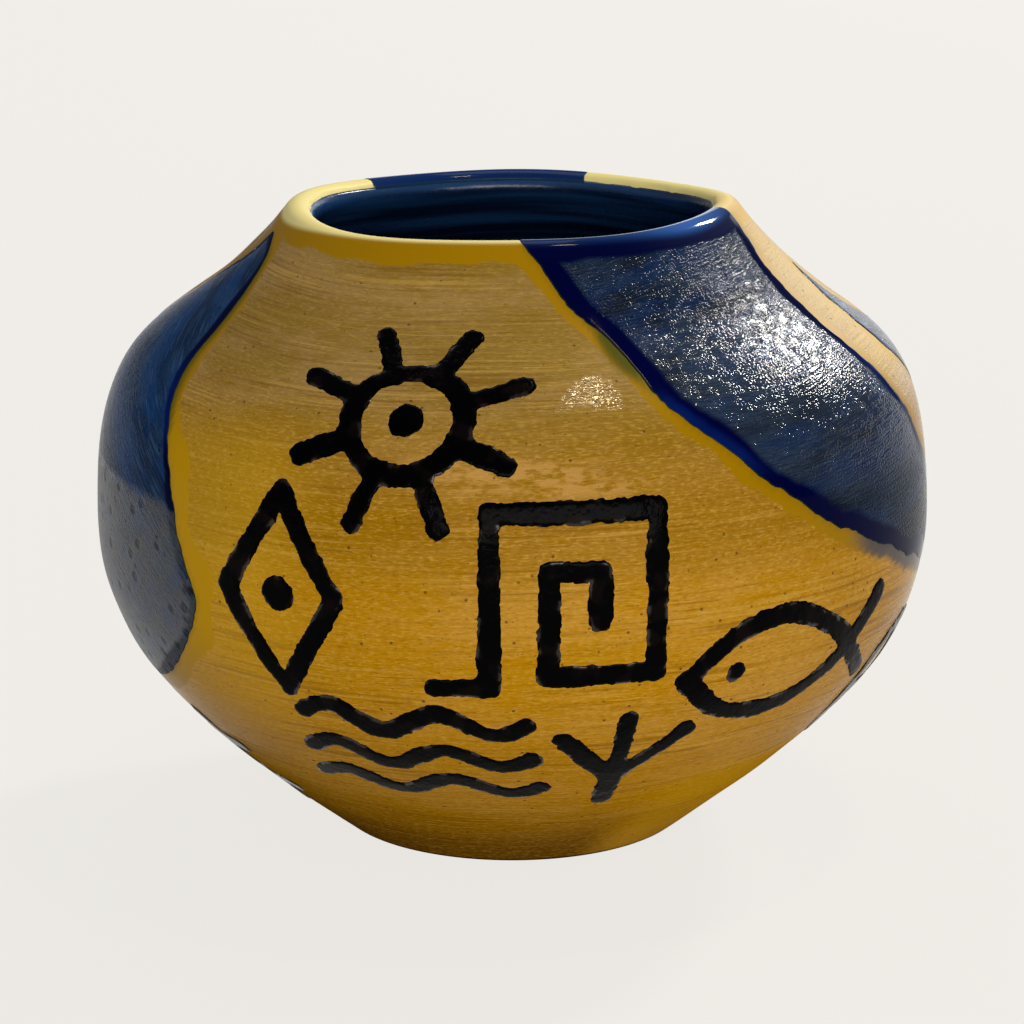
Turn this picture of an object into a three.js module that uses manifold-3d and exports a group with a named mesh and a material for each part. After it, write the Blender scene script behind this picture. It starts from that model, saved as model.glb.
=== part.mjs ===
// A hand-built, painted earthenware vase: a squat round pot with a rolled lip.
// Millimetres, +Z up, the origin at the middle of the foot. The front faces -Y.
import * as THREE from 'three';
import { LoftGeometry } from 'three/addons/geometries/LoftGeometry.js';
import { mergeVertices } from 'three/addons/utils/BufferGeometryUtils.js';
import Module from 'manifold-3d';

const wasm = await Module();
wasm.setup();

// The outside of the pot, over its glaze
const FOOT_RADIUS = 29;
const FOOT_FLARE = 38; // degrees above the table at which the wall leaves the foot
const FOOT_PULL = 38; // how firmly the wall keeps to that flare
const BELLY_RADIUS = 70;
const BELLY_HEIGHT = 55;
const BELLY_PULL_DOWN = 20;
const BELLY_PULL_UP = 36;
const NECK_RADIUS = 37.8; // where the shoulder meets the lip
const NECK_HEIGHT = 104.9;
const NECK_SLOPE = 52; // degrees above the table at which the shoulder meets the lip
const NECK_PULL = 28;

// The wall, which is as thick as the round lip that ends it
const WALL_THICKNESS = 5.5;
const FLOOR_THICKNESS = 8;
const FLOOR_FILLET = 9;

// The coats over the clay
const GROUND_COAT = 0.6; // the yellow glaze
const BLUE_COAT = 0.8;
const LINING_COAT = 0.6;
const SEAT_GAP = 0.3; // between a coat and what it lies on or against
const FOOT_BARE = 1.2; // wall left bare above the foot, along the slope
const LIP_WRAP = 3; // how far the outer glazes run on past the crest of the lip

// The painted strokes
const STROKE_WIDTH = 3.7;
const STROKE_HEIGHT = 0.5;
const STROKE_STEP = 6; // most that the sections along a stroke are apart
const DRAWING_UNIT_LENGTH = 1; // the unit in which the tongues and the motifs are drawn

// The lip was levelled by hand, so it rises and falls a little round the pot. Each wave is
// a count of crests, its share of the strongest wave's height, and the bearing of a crest.
const LIP_WAVE_HEIGHT = 0.5; // the height of the strongest wave
const LIP_WAVES = [
  { crests: 1, share: 0.8, bearing: -36 },
  { crests: 2, share: 1, bearing: -21 },
  { crests: 4, share: 0.6, bearing: -8 },
];
const WAVE_FADE = 4; // the power of height with which the waves die out towards the foot

// How finely the round shapes are divided
const SEGMENTS = 40;
const FOOT_CURVE_STEPS = 6;
const SHOULDER_STEPS = 7;
const LIP_STEPS = 6;
const INNER_WALL_STEPS = 6;
const DOT_SIDES = 10;
const FLOOR_CURVE_STEPS = 2;
const LEAST_STEP = 0.5; // least that a station of the skin is from the end of a piece
const WELD_DISTANCE = 1e-4; // corners nearer than this are one

// Angle helpers
const radians = THREE.MathUtils.degToRad;
const degrees = THREE.MathUtils.radToDeg;

// The skin is the glazed surface in section: x is the radius and y the height. It runs from
// the foot up the outside, over the lip, down the inside and across the floor to the axis.
const neckDirection = new THREE.Vector2(-Math.cos(radians(NECK_SLOPE)), Math.sin(radians(NECK_SLOPE)));
const foot = new THREE.Vector2(FOOT_RADIUS, 0);
const belly = new THREE.Vector2(BELLY_RADIUS, BELLY_HEIGHT);
const neck = new THREE.Vector2(NECK_RADIUS, NECK_HEIGHT);

const footCurve = new THREE.CubicBezierCurve(
  foot,
  new THREE.Vector2(Math.cos(radians(FOOT_FLARE)), Math.sin(radians(FOOT_FLARE)))
    .multiplyScalar(FOOT_PULL).add(foot),
  new THREE.Vector2(BELLY_RADIUS, BELLY_HEIGHT - BELLY_PULL_DOWN),
  belly,
);

const shoulderCurve = new THREE.CubicBezierCurve(
  belly,
  new THREE.Vector2(BELLY_RADIUS, BELLY_HEIGHT + BELLY_PULL_UP),
  neckDirection.clone().multiplyScalar(-NECK_PULL).add(neck),
  neck,
);

// The lip is half a circle that turns inwards from the top of the shoulder.
const lipRadius = WALL_THICKNESS / 2;
const lipStart = radians(90 - NECK_SLOPE);
const lipCentre = new THREE.Vector2(
  neck.x - lipRadius * Math.cos(lipStart),
  neck.y - lipRadius * Math.sin(lipStart),
);
const lipCurve = new THREE.EllipseCurve(
  lipCentre.x, lipCentre.y, lipRadius, lipRadius, lipStart, lipStart + Math.PI,
);

// The outward side of a section curve, a quarter turn clockwise from its direction
function outwardOf(direction) {
  return new THREE.Vector2(direction.y, -direction.x).normalize();
}

// The inner wall keeps the wall's thickness as far down as the floor's fillet.
function innerWallPoints() {
  const points = [];
  for (const [curve, steps] of [[shoulderCurve, SHOULDER_STEPS], [footCurve, FOOT_CURVE_STEPS]]) {
    for (let step = steps; step > 0; step -= 1) {
      const outward = outwardOf(curve.getTangentAt(step / steps));
      const point = outward.multiplyScalar(-WALL_THICKNESS).add(curve.getPointAt(step / steps));
      if (point.y > FLOOR_THICKNESS + FLOOR_FILLET) {
        points.push(point);
      }
    }
  }
  return points;
}

const innerWallCurve = new THREE.SplineCurve(innerWallPoints());
const filletTop = innerWallCurve.getPointAt(1);
const filletDirection = innerWallCurve.getTangentAt(1);
const floorCorner = new THREE.Vector2(
  filletTop.x + (filletDirection.x * (FLOOR_THICKNESS - filletTop.y)) / filletDirection.y,
  FLOOR_THICKNESS,
);
const floorEdge = new THREE.Vector2(floorCorner.x - filletTop.distanceTo(floorCorner), FLOOR_THICKNESS);
const floorCurve = new THREE.QuadraticBezierCurve(filletTop, floorCorner, floorEdge);
const floorLine = new THREE.LineCurve(floorEdge, new THREE.Vector2(0, FLOOR_THICKNESS));

const skin = new THREE.CurvePath();
const stations = [0];
for (const [curve, steps] of [
  [footCurve, FOOT_CURVE_STEPS],
  [shoulderCurve, SHOULDER_STEPS],
  [lipCurve, LIP_STEPS],
  [innerWallCurve, INNER_WALL_STEPS],
  [floorCurve, FLOOR_CURVE_STEPS],
  [floorLine, 1],
]) {
  const start = stations.at(-1);
  skin.add(curve);
  for (let step = 1; step <= steps; step += 1) {
    stations.push(start + (curve.getLength() * step) / steps);
  }
}
const skinLength = stations.at(-1);
const neckDistance = footCurve.getLength() + shoulderCurve.getLength();
const crestDistance = neckDistance + lipRadius * radians(NECK_SLOPE);
const glazeEnd = crestDistance + LIP_WRAP;

// A point in section at a distance along the skin, raised above it by a height
function skinPoint(distance, height) {
  const reach = THREE.MathUtils.clamp(distance / skinLength, 0, 1);
  const outward = outwardOf(skin.getTangent(reach));
  return outward.multiplyScalar(height).add(skin.getPoint(reach));
}

// A point of the pot at a bearing in degrees (-90 is the front), a distance and a height
function wallPoint(bearing, distance, height) {
  const section = skinPoint(distance, height);
  const angle = radians(bearing);
  return new THREE.Vector3(section.x * Math.cos(angle), section.x * Math.sin(angle), section.y);
}

// The stations of the skin from one distance to another, both included
function stationsBetween(from, to) {
  const inside = stations.filter((station) => station > from + LEAST_STEP && station < to - LEAST_STEP);
  return [from, ...inside, to];
}

// Turns a closed geometry into a solid with its faces outwards.
function solidFrom(geometry) {
  const bare = new THREE.BufferGeometry();
  bare.setAttribute('position', geometry.attributes.position);
  bare.setIndex(geometry.index);
  const merged = mergeVertices(bare, WELD_DISTANCE);
  const corners = merged.index.array;
  const faces = [];
  for (let i = 0; i < corners.length; i += 3) {
    const [a, b, c] = corners.slice(i, i + 3);
    if (a !== b && b !== c && c !== a) {
      faces.push(a, b, c);
    }
  }
  const makeSolid = () => new wasm.Manifold(new wasm.Mesh({
    numProp: 3,
    vertProperties: merged.attributes.position.array,
    triVerts: new Uint32Array(faces),
  }));
  const solid = makeSolid();
  if (solid.volume() > 0) {
    return solid;
  }
  faces.reverse();
  return makeSolid();
}

// The main body of a cut solid, without the specks that a cut along facets can leave
function mainBody(solid) {
  return solid.decompose().reduce((main, body) => (body.volume() > main.volume() ? body : main));
}

// Turns a closed section about the pot's axis.
function revolve(sectionPoints) {
  const lathe = new THREE.LatheGeometry(sectionPoints, SEGMENTS);
  return solidFrom(lathe.rotateX(Math.PI / 2));
}

// A coat over the skin between two distances, from its underside up to its face
function coatShell(from, to, underside, face) {
  const along = stationsBetween(from, to);
  const outer = along.map((distance) => skinPoint(distance, face));
  const inner = along.map((distance) => skinPoint(distance, underside));
  const ring = [...outer, ...inner.reverse()];
  return revolve([...ring, ring[0]]);
}

// The clay is the pot under its coats, with a flat foot.
function clayBody() {
  const outerDepth = -(GROUND_COAT + SEAT_GAP);
  const innerDepth = -(LINING_COAT + SEAT_GAP);
  const outside = stationsBetween(0, crestDistance)
    .map((distance) => skinPoint(distance, outerDepth));
  const inside = stationsBetween(crestDistance, skinLength)
    .map((distance) => skinPoint(distance, innerDepth));
  const footEdge = new THREE.Vector2(outside[0].x - outside[0].y / Math.tan(radians(FOOT_FLARE)), 0);
  inside.at(-1).x = 0;
  return revolve([new THREE.Vector2(0, 0), footEdge, ...outside, ...inside.slice(1)]);
}

// The lining covers the inside from the end of the outer glazes to the middle of the floor.
function liningGlaze() {
  const along = stationsBetween(glazeEnd + SEAT_GAP, skinLength);
  const face = along.map((distance) => skinPoint(distance, 0));
  const back = along.map((distance) => skinPoint(distance, -LINING_COAT));
  face.at(-1).x = 0;
  back.at(-1).x = 0;
  return revolve([...face.reverse(), ...back]);
}

// The blue glaze lies in four tongues. An edge is a list of [bearing, distance] from the low
// tip to the top, and a tongue that comes from the lip has its two bearings there as well.
const LIP_JOIN = 3; // how far below the neck such a tongue takes on its bearings at the lip
const LIP_LAP = 1; // how far its block over the lip reaches down past that
const lipJoin = neckDistance - LIP_JOIN;
const TONGUES = [
  {
    name: 'blue_glaze_front_right',
    left: [[6, 64], [-4, 63.5], [-15, 66], [-30, 72.5], [-47, 82], [-60, 94], [-68, 104],
      [-72.5, 116], [-80, 125]],
    right: [[6, 64], [10, 69], [3, 76], [-9, 81], [-16, 90], [-21.5, 100], [-23.5, 110],
      [-22.5, 121]],
    lipBearings: [-88, -18.5],
  },
  {
    name: 'blue_glaze_left',
    left: [[-158, 46], [-168, 49], [-179, 60], [-187, 75], [-190, 92], [-186, 107], [-180, 118],
      [-174, 126], [-170.5, 131]],
    right: [[-158, 46], [-149, 50], [-140, 58], [-135, 67], [-138, 76], [-143, 90], [-149, 104],
      [-154, 117], [-161, 127], [-169, 131]],
  },
  {
    name: 'blue_glaze_right_shoulder',
    left: [[30, 56], [22, 60], [16, 72], [9, 84], [-1, 93], [-8, 100], [-10, 109], [-7, 118],
      [-3.5, 121.5]],
    right: [[30, 56], [39, 60], [42, 72], [37, 83], [25, 92], [11, 101], [0, 108], [-3, 116],
      [-3, 121.5]],
  },
  {
    name: 'blue_glaze_back',
    left: [[124, 54], [115, 57], [108, 67], [103, 80], [98, 94], [90, 107], [78, 119]],
    right: [[124, 54], [134, 58], [140, 69], [139, 83], [133, 98], [131, 113]],
    lipBearings: [68, 135],
  },
];

const TONGUE_ROWS = 12;
const TONGUE_COLUMNS = 6;
const BLOCK_DEPTH = 1.5; // how far a tongue's block reaches through the coats either way
const TIP_SHARE = 0.012; // the first row stands this share of the edge away from the tip

// An edge curve in bearings and millimetres, which ends at its bearing at the lip if it has one
function edgeCurve(drawing, lipBearing) {
  const points = drawing.map(
    ([bearing, distance]) => new THREE.Vector2(bearing, distance * DRAWING_UNIT_LENGTH),
  );
  if (lipBearing !== undefined) {
    points.push(new THREE.Vector2(lipBearing, lipJoin));
  }
  return new THREE.SplineCurve(points);
}

// A point of an edge, moved off the tongue by a margin in millimetres. The side is 1 for an
// edge whose tongue lies to its right, and -1 for the other.
function edgePoint(curve, share, margin, side) {
  const point = curve.getPoint(share);
  const radius = skinPoint(point.y, 0).x;
  const tangent = curve.getTangent(share);
  const across = new THREE.Vector2(-tangent.y, radians(tangent.x) * radius).normalize();
  point.x += degrees((side * margin * across.x) / radius);
  point.y += side * margin * across.y;
  return point;
}

// A block through the coats over a tongue, grown on all sides by a margin
function tongueBlock(tongue, margin) {
  const [leftAtLip, rightAtLip] = tongue.lipBearings ?? [];
  const overLip = leftAtLip !== undefined;
  const leftCurve = edgeCurve(tongue.left, leftAtLip);
  const rightCurve = edgeCurve(tongue.right, rightAtLip);
  const sections = [];
  for (let row = 0; row <= TONGUE_ROWS; row += 1) {
    const turn = (Math.PI * row) / TONGUE_ROWS;
    const even = overLip ? 1 - Math.cos(turn / 2) : (1 - Math.cos(turn)) / 2;
    const share = THREE.MathUtils.lerp(TIP_SHARE, overLip ? 1 : 1 - TIP_SHARE, even);
    const left = edgePoint(leftCurve, share, margin, 1);
    const right = edgePoint(rightCurve, share, margin, -1);
    const face = [];
    const underside = [];
    for (let column = 0; column <= TONGUE_COLUMNS; column += 1) {
      const place = left.clone().lerp(right, column / TONGUE_COLUMNS);
      face.push(wallPoint(place.x, place.y, BLOCK_DEPTH));
      underside.push(wallPoint(place.x, place.y, -BLOCK_DEPTH));
    }
    sections.push([...face, ...underside.reverse()]);
  }
  const block = solidFrom(new LoftGeometry(sections, { capStart: true, capEnd: true }));
  return overLip ? block.add(lipBlock(leftAtLip, rightAtLip, margin)) : block;
}

// A block round the lip between two bearings, grown by a margin
function lipBlock(leftBearing, rightBearing, margin) {
  const spread = degrees(margin / lipCentre.x);
  const start = lipJoin - LIP_LAP;
  const low = skinPoint(start, -BLOCK_DEPTH);
  const high = skinPoint(start, BLOCK_DEPTH);
  const top = lipCentre.y + lipRadius + BLOCK_DEPTH;
  const inner = lipCentre.x - lipRadius - BLOCK_DEPTH;
  const outline = [
    low,
    high,
    new THREE.Vector2(high.x, top),
    new THREE.Vector2(inner, top),
    new THREE.Vector2(inner, lipCentre.y - lipRadius),
    lipCentre,
  ];
  const sections = [];
  for (let step = 0; step <= TONGUE_COLUMNS; step += 1) {
    const share = step / TONGUE_COLUMNS;
    const angle = radians(THREE.MathUtils.lerp(rightBearing + spread, leftBearing - spread, share));
    sections.push(outline.map(
      ({ x, y }) => new THREE.Vector3(x * Math.cos(angle), x * Math.sin(angle), y),
    ));
  }
  return solidFrom(new LoftGeometry(sections, { capStart: true, capEnd: true }));
}

// A stroke's end is cut off blunt and then reaches its full width, at these distances from
// its end as shares of that width. The last share is the blunt end's own width.
const BLUNT_SHARE = 0.08;
const FULL_SHARE = 0.4;
const END_SHARE = 0.55;

// How much of its width a dot keeps at its full height
const DOT_TOP_SHARE = 0.7;

// A stroke's section, across and up: flat below, with a narrower top
const strokeSection = [
  [-0.5, 0],
  [0.5, 0],
  [0.32, 1],
  [-0.32, 1],
];

// A point of a motif's flat drawing
function drawn([x, y]) {
  return new THREE.Vector2(x, y).multiplyScalar(DRAWING_UNIT_LENGTH);
}

// Lays a point of a motif's flat drawing (right, up the wall, outwards) on the yellow glaze.
function laid(motif, right, up, height) {
  const distance = motif.distance * DRAWING_UNIT_LENGTH + up;
  const radius = skinPoint(distance, 0).x;
  return wallPoint(motif.bearing + degrees(right / radius), distance, SEAT_GAP + height);
}

// Sweeps the stroke section through frames, each a flat point and a vector to its left that
// is as long as the share of the full width there.
function sweep(motif, frames, closed) {
  const sections = frames.map(({ point, left }) => strokeSection.map(([across, up]) => laid(
    motif,
    point.x + left.x * across * STROKE_WIDTH,
    point.y + left.y * across * STROKE_WIDTH,
    up * STROKE_HEIGHT,
  )));
  if (closed) {
    sections.push(sections[0]);
  }
  return solidFrom(new LoftGeometry(sections, { capStart: !closed, capEnd: !closed }));
}

// A frame at a point of a stroke that runs in a direction
function frameAt(point, direction, share) {
  const left = new THREE.Vector2(-direction.y, direction.x).normalize().multiplyScalar(share);
  return { point, left };
}

// Even marks from one distance to another, no further apart than a stroke's sections
function evenMarks(from, to) {
  const steps = Math.max(1, Math.ceil((to - from) / STROKE_STEP));
  return Array.from({ length: steps + 1 }, (_, step) => THREE.MathUtils.lerp(from, to, step / steps));
}

// A smooth stroke with rounded ends
function smoothStroke(curve) {
  const length = curve.getLength();
  const blunt = BLUNT_SHARE * STROKE_WIDTH;
  const full = FULL_SHARE * STROKE_WIDTH;
  const marks = [blunt, ...evenMarks(full, length - full), length - blunt];
  const frames = marks.map((mark, index) => frameAt(
    curve.getPointAt(mark / length),
    curve.getTangentAt(mark / length),
    index === 0 || index === marks.length - 1 ? END_SHARE : 1,
  ));
  return (motif) => sweep(motif, frames, false);
}

// A straight stroke
function line(x1, y1, x2, y2) {
  return smoothStroke(new THREE.LineCurve(drawn([x1, y1]), drawn([x2, y2])));
}

// A smooth stroke through points
function curve(points) {
  return smoothStroke(new THREE.SplineCurve(points.map(drawn)));
}

// A ring round the middle of the motif
function ring(radius) {
  const reach = radius * DRAWING_UNIT_LENGTH;
  const circle = new THREE.EllipseCurve(0, 0, reach, reach);
  const turns = evenMarks(0, circle.getLength()).slice(1).map((mark) => mark / circle.getLength());
  const frames = turns.map((turn) => frameAt(circle.getPoint(turn), circle.getTangent(turn), 1));
  return (motif) => sweep(motif, frames, true);
}

// A round dot
function dot(x, y, radius) {
  const middle = drawn([x, y]);
  const reach = radius * DRAWING_UNIT_LENGTH;
  const section = [
    new THREE.Vector2(0, 0),
    new THREE.Vector2(reach, 0),
    new THREE.Vector2(reach * DOT_TOP_SHARE, STROKE_HEIGHT),
    new THREE.Vector2(0, STROKE_HEIGHT),
  ];
  return (motif) => {
    const button = new THREE.LatheGeometry(section, DOT_SIDES).rotateX(Math.PI / 2);
    const place = button.attributes.position;
    for (let i = 0; i < place.count; i += 1) {
      const point = laid(motif, middle.x + place.getX(i), middle.y - place.getY(i), place.getZ(i));
      place.setXYZ(i, point.x, point.y, point.z);
    }
    return solidFrom(button);
  };
}

// One stroke through corners, mitred at each. A closed chain ends where it starts.
function chain(corners) {
  const points = corners.map(drawn);
  const closed = points[0].equals(points.at(-1));
  const sides = points.slice(1).map((end, index) => end.clone().sub(points[index]));
  const frames = [];
  sides.forEach((side, index) => {
    const length = side.length();
    const direction = side.clone().normalize();
    const next = sides[index + 1] ?? (closed ? sides[0] : null);
    const first = index === 0 && !closed ? FULL_SHARE * STROKE_WIDTH : 0;
    const last = next ? length : length - FULL_SHARE * STROKE_WIDTH;
    const at = (mark) => direction.clone().multiplyScalar(mark).add(points[index]);
    if (first > 0) {
      frames.push(frameAt(at(BLUNT_SHARE * STROKE_WIDTH), direction, END_SHARE));
      frames.push(frameAt(at(first), direction, 1));
    }
    for (const mark of evenMarks(first, last).slice(1, -1)) {
      frames.push(frameAt(at(mark), direction, 1));
    }
    if (next) {
      const middle = next.clone().normalize().add(direction);
      frames.push(frameAt(points[index + 1], middle, 2 / middle.length()));
    } else {
      frames.push(frameAt(at(last), direction, 1));
      frames.push(frameAt(at(length - BLUNT_SHARE * STROKE_WIDTH), direction, END_SHARE));
    }
  });
  return (motif) => sweep(motif, frames, closed);
}

// Straight strokes repeated at even turns round the middle of the motif
function rays(count, from, to, firstTurn, sweptTurn) {
  return Array.from({ length: count }, (_, index) => {
    const turn = radians(firstTurn + (sweptTurn * index) / count);
    return line(from * Math.cos(turn), from * Math.sin(turn), to * Math.cos(turn), to * Math.sin(turn));
  });
}

// Water is drawn as wavy strokes, one above the other.
const WATER_LENGTH = 36;
const BACK_WATER_LENGTH = 34;
const WATER_PITCH = 8.5;
const WATER_WAVE_HEIGHT = 2.2;
const HALF_WAVE_COUNT = 4;
const HALF_WAVE_STEPS = 3;

// A wavy stroke, a number of pitches above the middle of the motif
function wave(length, pitches) {
  const count = HALF_WAVE_COUNT * HALF_WAVE_STEPS;
  const points = Array.from({ length: count + 1 }, (_, index) => {
    const turn = (Math.PI * index) / HALF_WAVE_STEPS;
    return new THREE.Vector2(
      length * (index / count - 0.5),
      WATER_PITCH * pitches + WATER_WAVE_HEIGHT * Math.sin(turn),
    );
  });
  return smoothStroke(new THREE.SplineCurve(points));
}

// The painted motifs: common signs of sun, water, fish, hills and stars. Each stroke list is
// one unbroken piece of paint, and the place is the middle of the motif on the wall.
const MOTIFS = [
  {
    name: 'sun',
    bearing: -105,
    distance: 101,
    pieces: {
      ring: [ring(9), ...rays(8, 9, 18, 22.5, 360)],
      dot: [dot(0, 0, 3)],
    },
  },
  {
    name: 'diamond',
    bearing: -121,
    distance: 72,
    pieces: {
      frame: [chain([[0, -16], [10, 0], [0, 16], [-10, 0], [0, -16]])],
      dot: [dot(0, 0, 2.8)],
    },
  },
  {
    name: 'fret',
    bearing: -83,
    distance: 73,
    pieces: {
      line: [
        chain([[-20, -14], [-12, -14], [-12, 14], [14, 14], [14, -12], [-3, -12], [-3, 5], [5, 5],
          [5, -3]]),
      ],
    },
  },
  {
    name: 'water',
    bearing: -104,
    distance: 43,
    pieces: {
      top: [wave(WATER_LENGTH, 1)],
      middle: [wave(WATER_LENGTH, 0)],
      low: [wave(WATER_LENGTH, -1)],
    },
  },
  {
    name: 'fish',
    bearing: -49,
    distance: 58,
    pieces: {
      body: [
        curve([[-21, 0.5], [-13, 7.4], [-2, 9], [9, 3.8], [20, -7]]),
        curve([[-21, 0.5], [-13, -6.4], [-2, -8], [9, -2.8], [20, 8]]),
      ],
      eye: [dot(-12.5, 0.8, 1.9)],
    },
  },
  {
    name: 'bird_track',
    bearing: -74,
    distance: 40,
    pieces: { toes: [line(0, -11, 0, 12), line(0, -3, -10, 8), line(0, -3, 10, 8)] },
  },
  {
    name: 'wheel',
    bearing: -17,
    distance: 44,
    pieces: { rim: [ring(12), line(-12, 0, 12, 0), line(0, -12, 0, 12)] },
  },
  {
    name: 'hills',
    bearing: 16,
    distance: 41,
    pieces: {
      line: [chain([[-20, -7], [-12, 7], [-4, -7], [4, 7], [12, -7], [20, 7]])],
      dot: [dot(-4, 8, 2.2)],
    },
  },
  {
    name: 'star',
    bearing: 64,
    distance: 92,
    pieces: { arms: rays(3, -15, 15, 30, 180) },
  },
  {
    name: 'comb',
    bearing: 55,
    distance: 43,
    pieces: {
      teeth: [
        line(-15, 10, 15, 10),
        ...[-13.5, -4.5, 4.5, 13.5].map((x) => line(x, 10, x, -10)),
      ],
    },
  },
  {
    name: 'hourglass',
    bearing: 87,
    distance: 68,
    pieces: {
      frame: [
        chain([[-9, 14], [9, 14], [-9, -14]]),
        chain([[-9, 14], [9, -14], [-9, -14]]),
      ],
    },
  },
  {
    name: 'back_water',
    bearing: 104,
    distance: 36,
    pieces: {
      top: [wave(BACK_WATER_LENGTH, 0.5)],
      low: [wave(BACK_WATER_LENGTH, -0.5)],
    },
  },
  {
    name: 'back_fish',
    bearing: 154,
    distance: 44,
    pieces: {
      body: [
        curve([[-20, 0], [-12, 6.8], [-2, 8.4], [9, 3.2], [19, -7]]),
        curve([[-20, 0], [-12, -6.8], [-2, -8.4], [9, -3.2], [19, 7]]),
      ],
    },
  },
  {
    name: 'back_track',
    bearing: 156,
    distance: 92,
    pieces: { toes: [line(0, -11, 0, 12), line(0, -3, -9, 8), line(0, -3, 9, 8)] },
  },
  {
    name: 'lattice',
    bearing: -158,
    distance: 27,
    pieces: {
      bars: [
        line(-12, -6, 12, -6),
        line(-12, 6, 12, 6),
        line(-6, -12, -6, 12),
        line(6, -12, 6, 12),
      ],
    },
  },
];

// Moves every point with the rise and fall of the lip at its bearing.
function settle(position) {
  for (let i = 0; i < position.count; i += 1) {
    const bearing = Math.atan2(position.getY(i), position.getX(i));
    const height = position.getZ(i);
    const fade = Math.max(height / NECK_HEIGHT, 0) ** WAVE_FADE;
    const rise = LIP_WAVES.reduce(
      (sum, part) => sum + part.share * Math.cos(part.crests * (bearing - radians(part.bearing))),
      0,
    );
    position.setZ(i, height + fade * LIP_WAVE_HEIGHT * rise);
  }
}

// A named mesh of a solid, in its own material
function meshOf(name, solid, finish) {
  const made = solid.getMesh();
  const points = new THREE.BufferAttribute(new Float32Array(made.vertProperties), 3);
  settle(points);
  const geometry = new THREE.BufferGeometry();
  geometry.setAttribute('position', points);
  geometry.setIndex(new THREE.BufferAttribute(new Uint32Array(made.triVerts), 1));
  geometry.computeVertexNormals();
  const mesh = new THREE.Mesh(geometry, new THREE.MeshStandardMaterial(finish));
  mesh.name = name;
  return mesh;
}

const CLAY_FINISH = { color: 0xb98a62, roughness: 0.85, metalness: 0 };
const YELLOW_FINISH = { color: 0xc8961e, roughness: 0.3, metalness: 0 };
const BLUE_FINISH = { color: 0x1c3a72, roughness: 0.2, metalness: 0 };
const LINING_FINISH = { color: 0x0c1c3c, roughness: 0.2, metalness: 0 };
const BLACK_FINISH = { color: 0x12100e, roughness: 0.3, metalness: 0 };

const vase = new THREE.Group();
vase.add(meshOf('clay_body', clayBody(), CLAY_FINISH));
vase.add(meshOf('lining_glaze', liningGlaze(), LINING_FINISH));

let ground = coatShell(FOOT_BARE, glazeEnd, -GROUND_COAT, 0);
const blueShell = coatShell(FOOT_BARE, glazeEnd, -GROUND_COAT, BLUE_COAT - GROUND_COAT);
for (const tongue of TONGUES) {
  vase.add(meshOf(tongue.name, mainBody(blueShell.intersect(tongueBlock(tongue, 0))), BLUE_FINISH));
  ground = ground.subtract(tongueBlock(tongue, SEAT_GAP));
}
vase.add(meshOf('yellow_glaze', mainBody(ground), YELLOW_FINISH));

for (const motif of MOTIFS) {
  for (const [piece, strokes] of Object.entries(motif.pieces)) {
    const solids = strokes.map((stroke) => stroke(motif));
    const joined = solids.reduce((whole, solid) => whole.add(solid));
    vase.add(meshOf(`${motif.name}_${piece}`, joined, BLACK_FINISH));
  }
}

export default vase;
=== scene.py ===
"""The painted vase, dressed: fired clay, a yellow ground glaze, blue glaze tongues and painted signs.

Lengths are in millimetres until a mesh is made, which turns them into metres. A place on the pot is a
bearing in degrees (-90 is the front) and a distance in millimetres along the glazed skin, from the foot
up the outside, over the lip and down the inside to the middle of the floor.
"""

import logging
from dataclasses import dataclass, field
from enum import Enum
from functools import cached_property

import bpy
import numpy as np
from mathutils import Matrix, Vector


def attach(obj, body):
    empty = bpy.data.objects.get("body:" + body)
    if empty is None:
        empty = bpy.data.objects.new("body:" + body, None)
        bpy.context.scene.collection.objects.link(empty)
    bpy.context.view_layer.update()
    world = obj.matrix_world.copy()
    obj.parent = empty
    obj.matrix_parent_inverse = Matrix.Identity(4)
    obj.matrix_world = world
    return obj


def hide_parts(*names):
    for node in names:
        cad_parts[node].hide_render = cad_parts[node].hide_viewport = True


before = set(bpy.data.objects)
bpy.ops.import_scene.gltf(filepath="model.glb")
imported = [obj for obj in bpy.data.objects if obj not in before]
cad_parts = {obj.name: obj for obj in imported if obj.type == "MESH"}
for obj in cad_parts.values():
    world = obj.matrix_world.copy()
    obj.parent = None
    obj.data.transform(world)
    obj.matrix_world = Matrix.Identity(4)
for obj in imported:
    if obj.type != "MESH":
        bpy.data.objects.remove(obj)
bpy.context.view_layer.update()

log = logging.getLogger("vase")

MM = 0.001
TINY = 1e-9
BODY = "root"

Colour = tuple[int, int, int]
Socket = bpy.types.NodeSocket
Piece = bpy.types.Object
Values = dict[str, np.ndarray]
Point = tuple[float, float]
# Where something starts and where it ends.
Span = tuple[float, float]
# Patches a metre across and up the wall, and how many times finer ones are laid into them.
Patches = tuple[float, float, float]
# Cells a metre, a speck's radius as a share of its cell, and the share of the cells that has one.
Specks = tuple[float, float, float]


class Slot(Enum):
    """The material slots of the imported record."""

    CLAY = "clay"
    LINING = "lining"
    YELLOW = "yellow"
    BLUE = "blue"
    BLACK = "black"


def smooth_step(value: np.ndarray, low: float, high: float) -> np.ndarray:
    """Rises smoothly from 0 at low to 1 at high: three times the share squared less twice its cube.

    Args:
        value: The values to weigh.
        low: Where the rise starts.
        high: Where it ends.

    Returns:
        The weights, from 0 to 1.
    """
    share = np.clip((value - low) / (high - low), 0.0, 1.0)
    return share * share * (3.0 - 2.0 * share)


def hump(value: np.ndarray, rise: Span, fall: Span) -> np.ndarray:
    """Rises smoothly from 0 to 1 over one span and falls back over another."""
    return smooth_step(value, *rise) * (1.0 - smooth_step(value, *fall))


def bell(value: np.ndarray, middle: float, spread: float) -> np.ndarray:
    """1 in the middle and less on both sides: e to minus the square of the steps away, a spread each."""
    return np.exp(-(((value - middle) / spread) ** 2))


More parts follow.
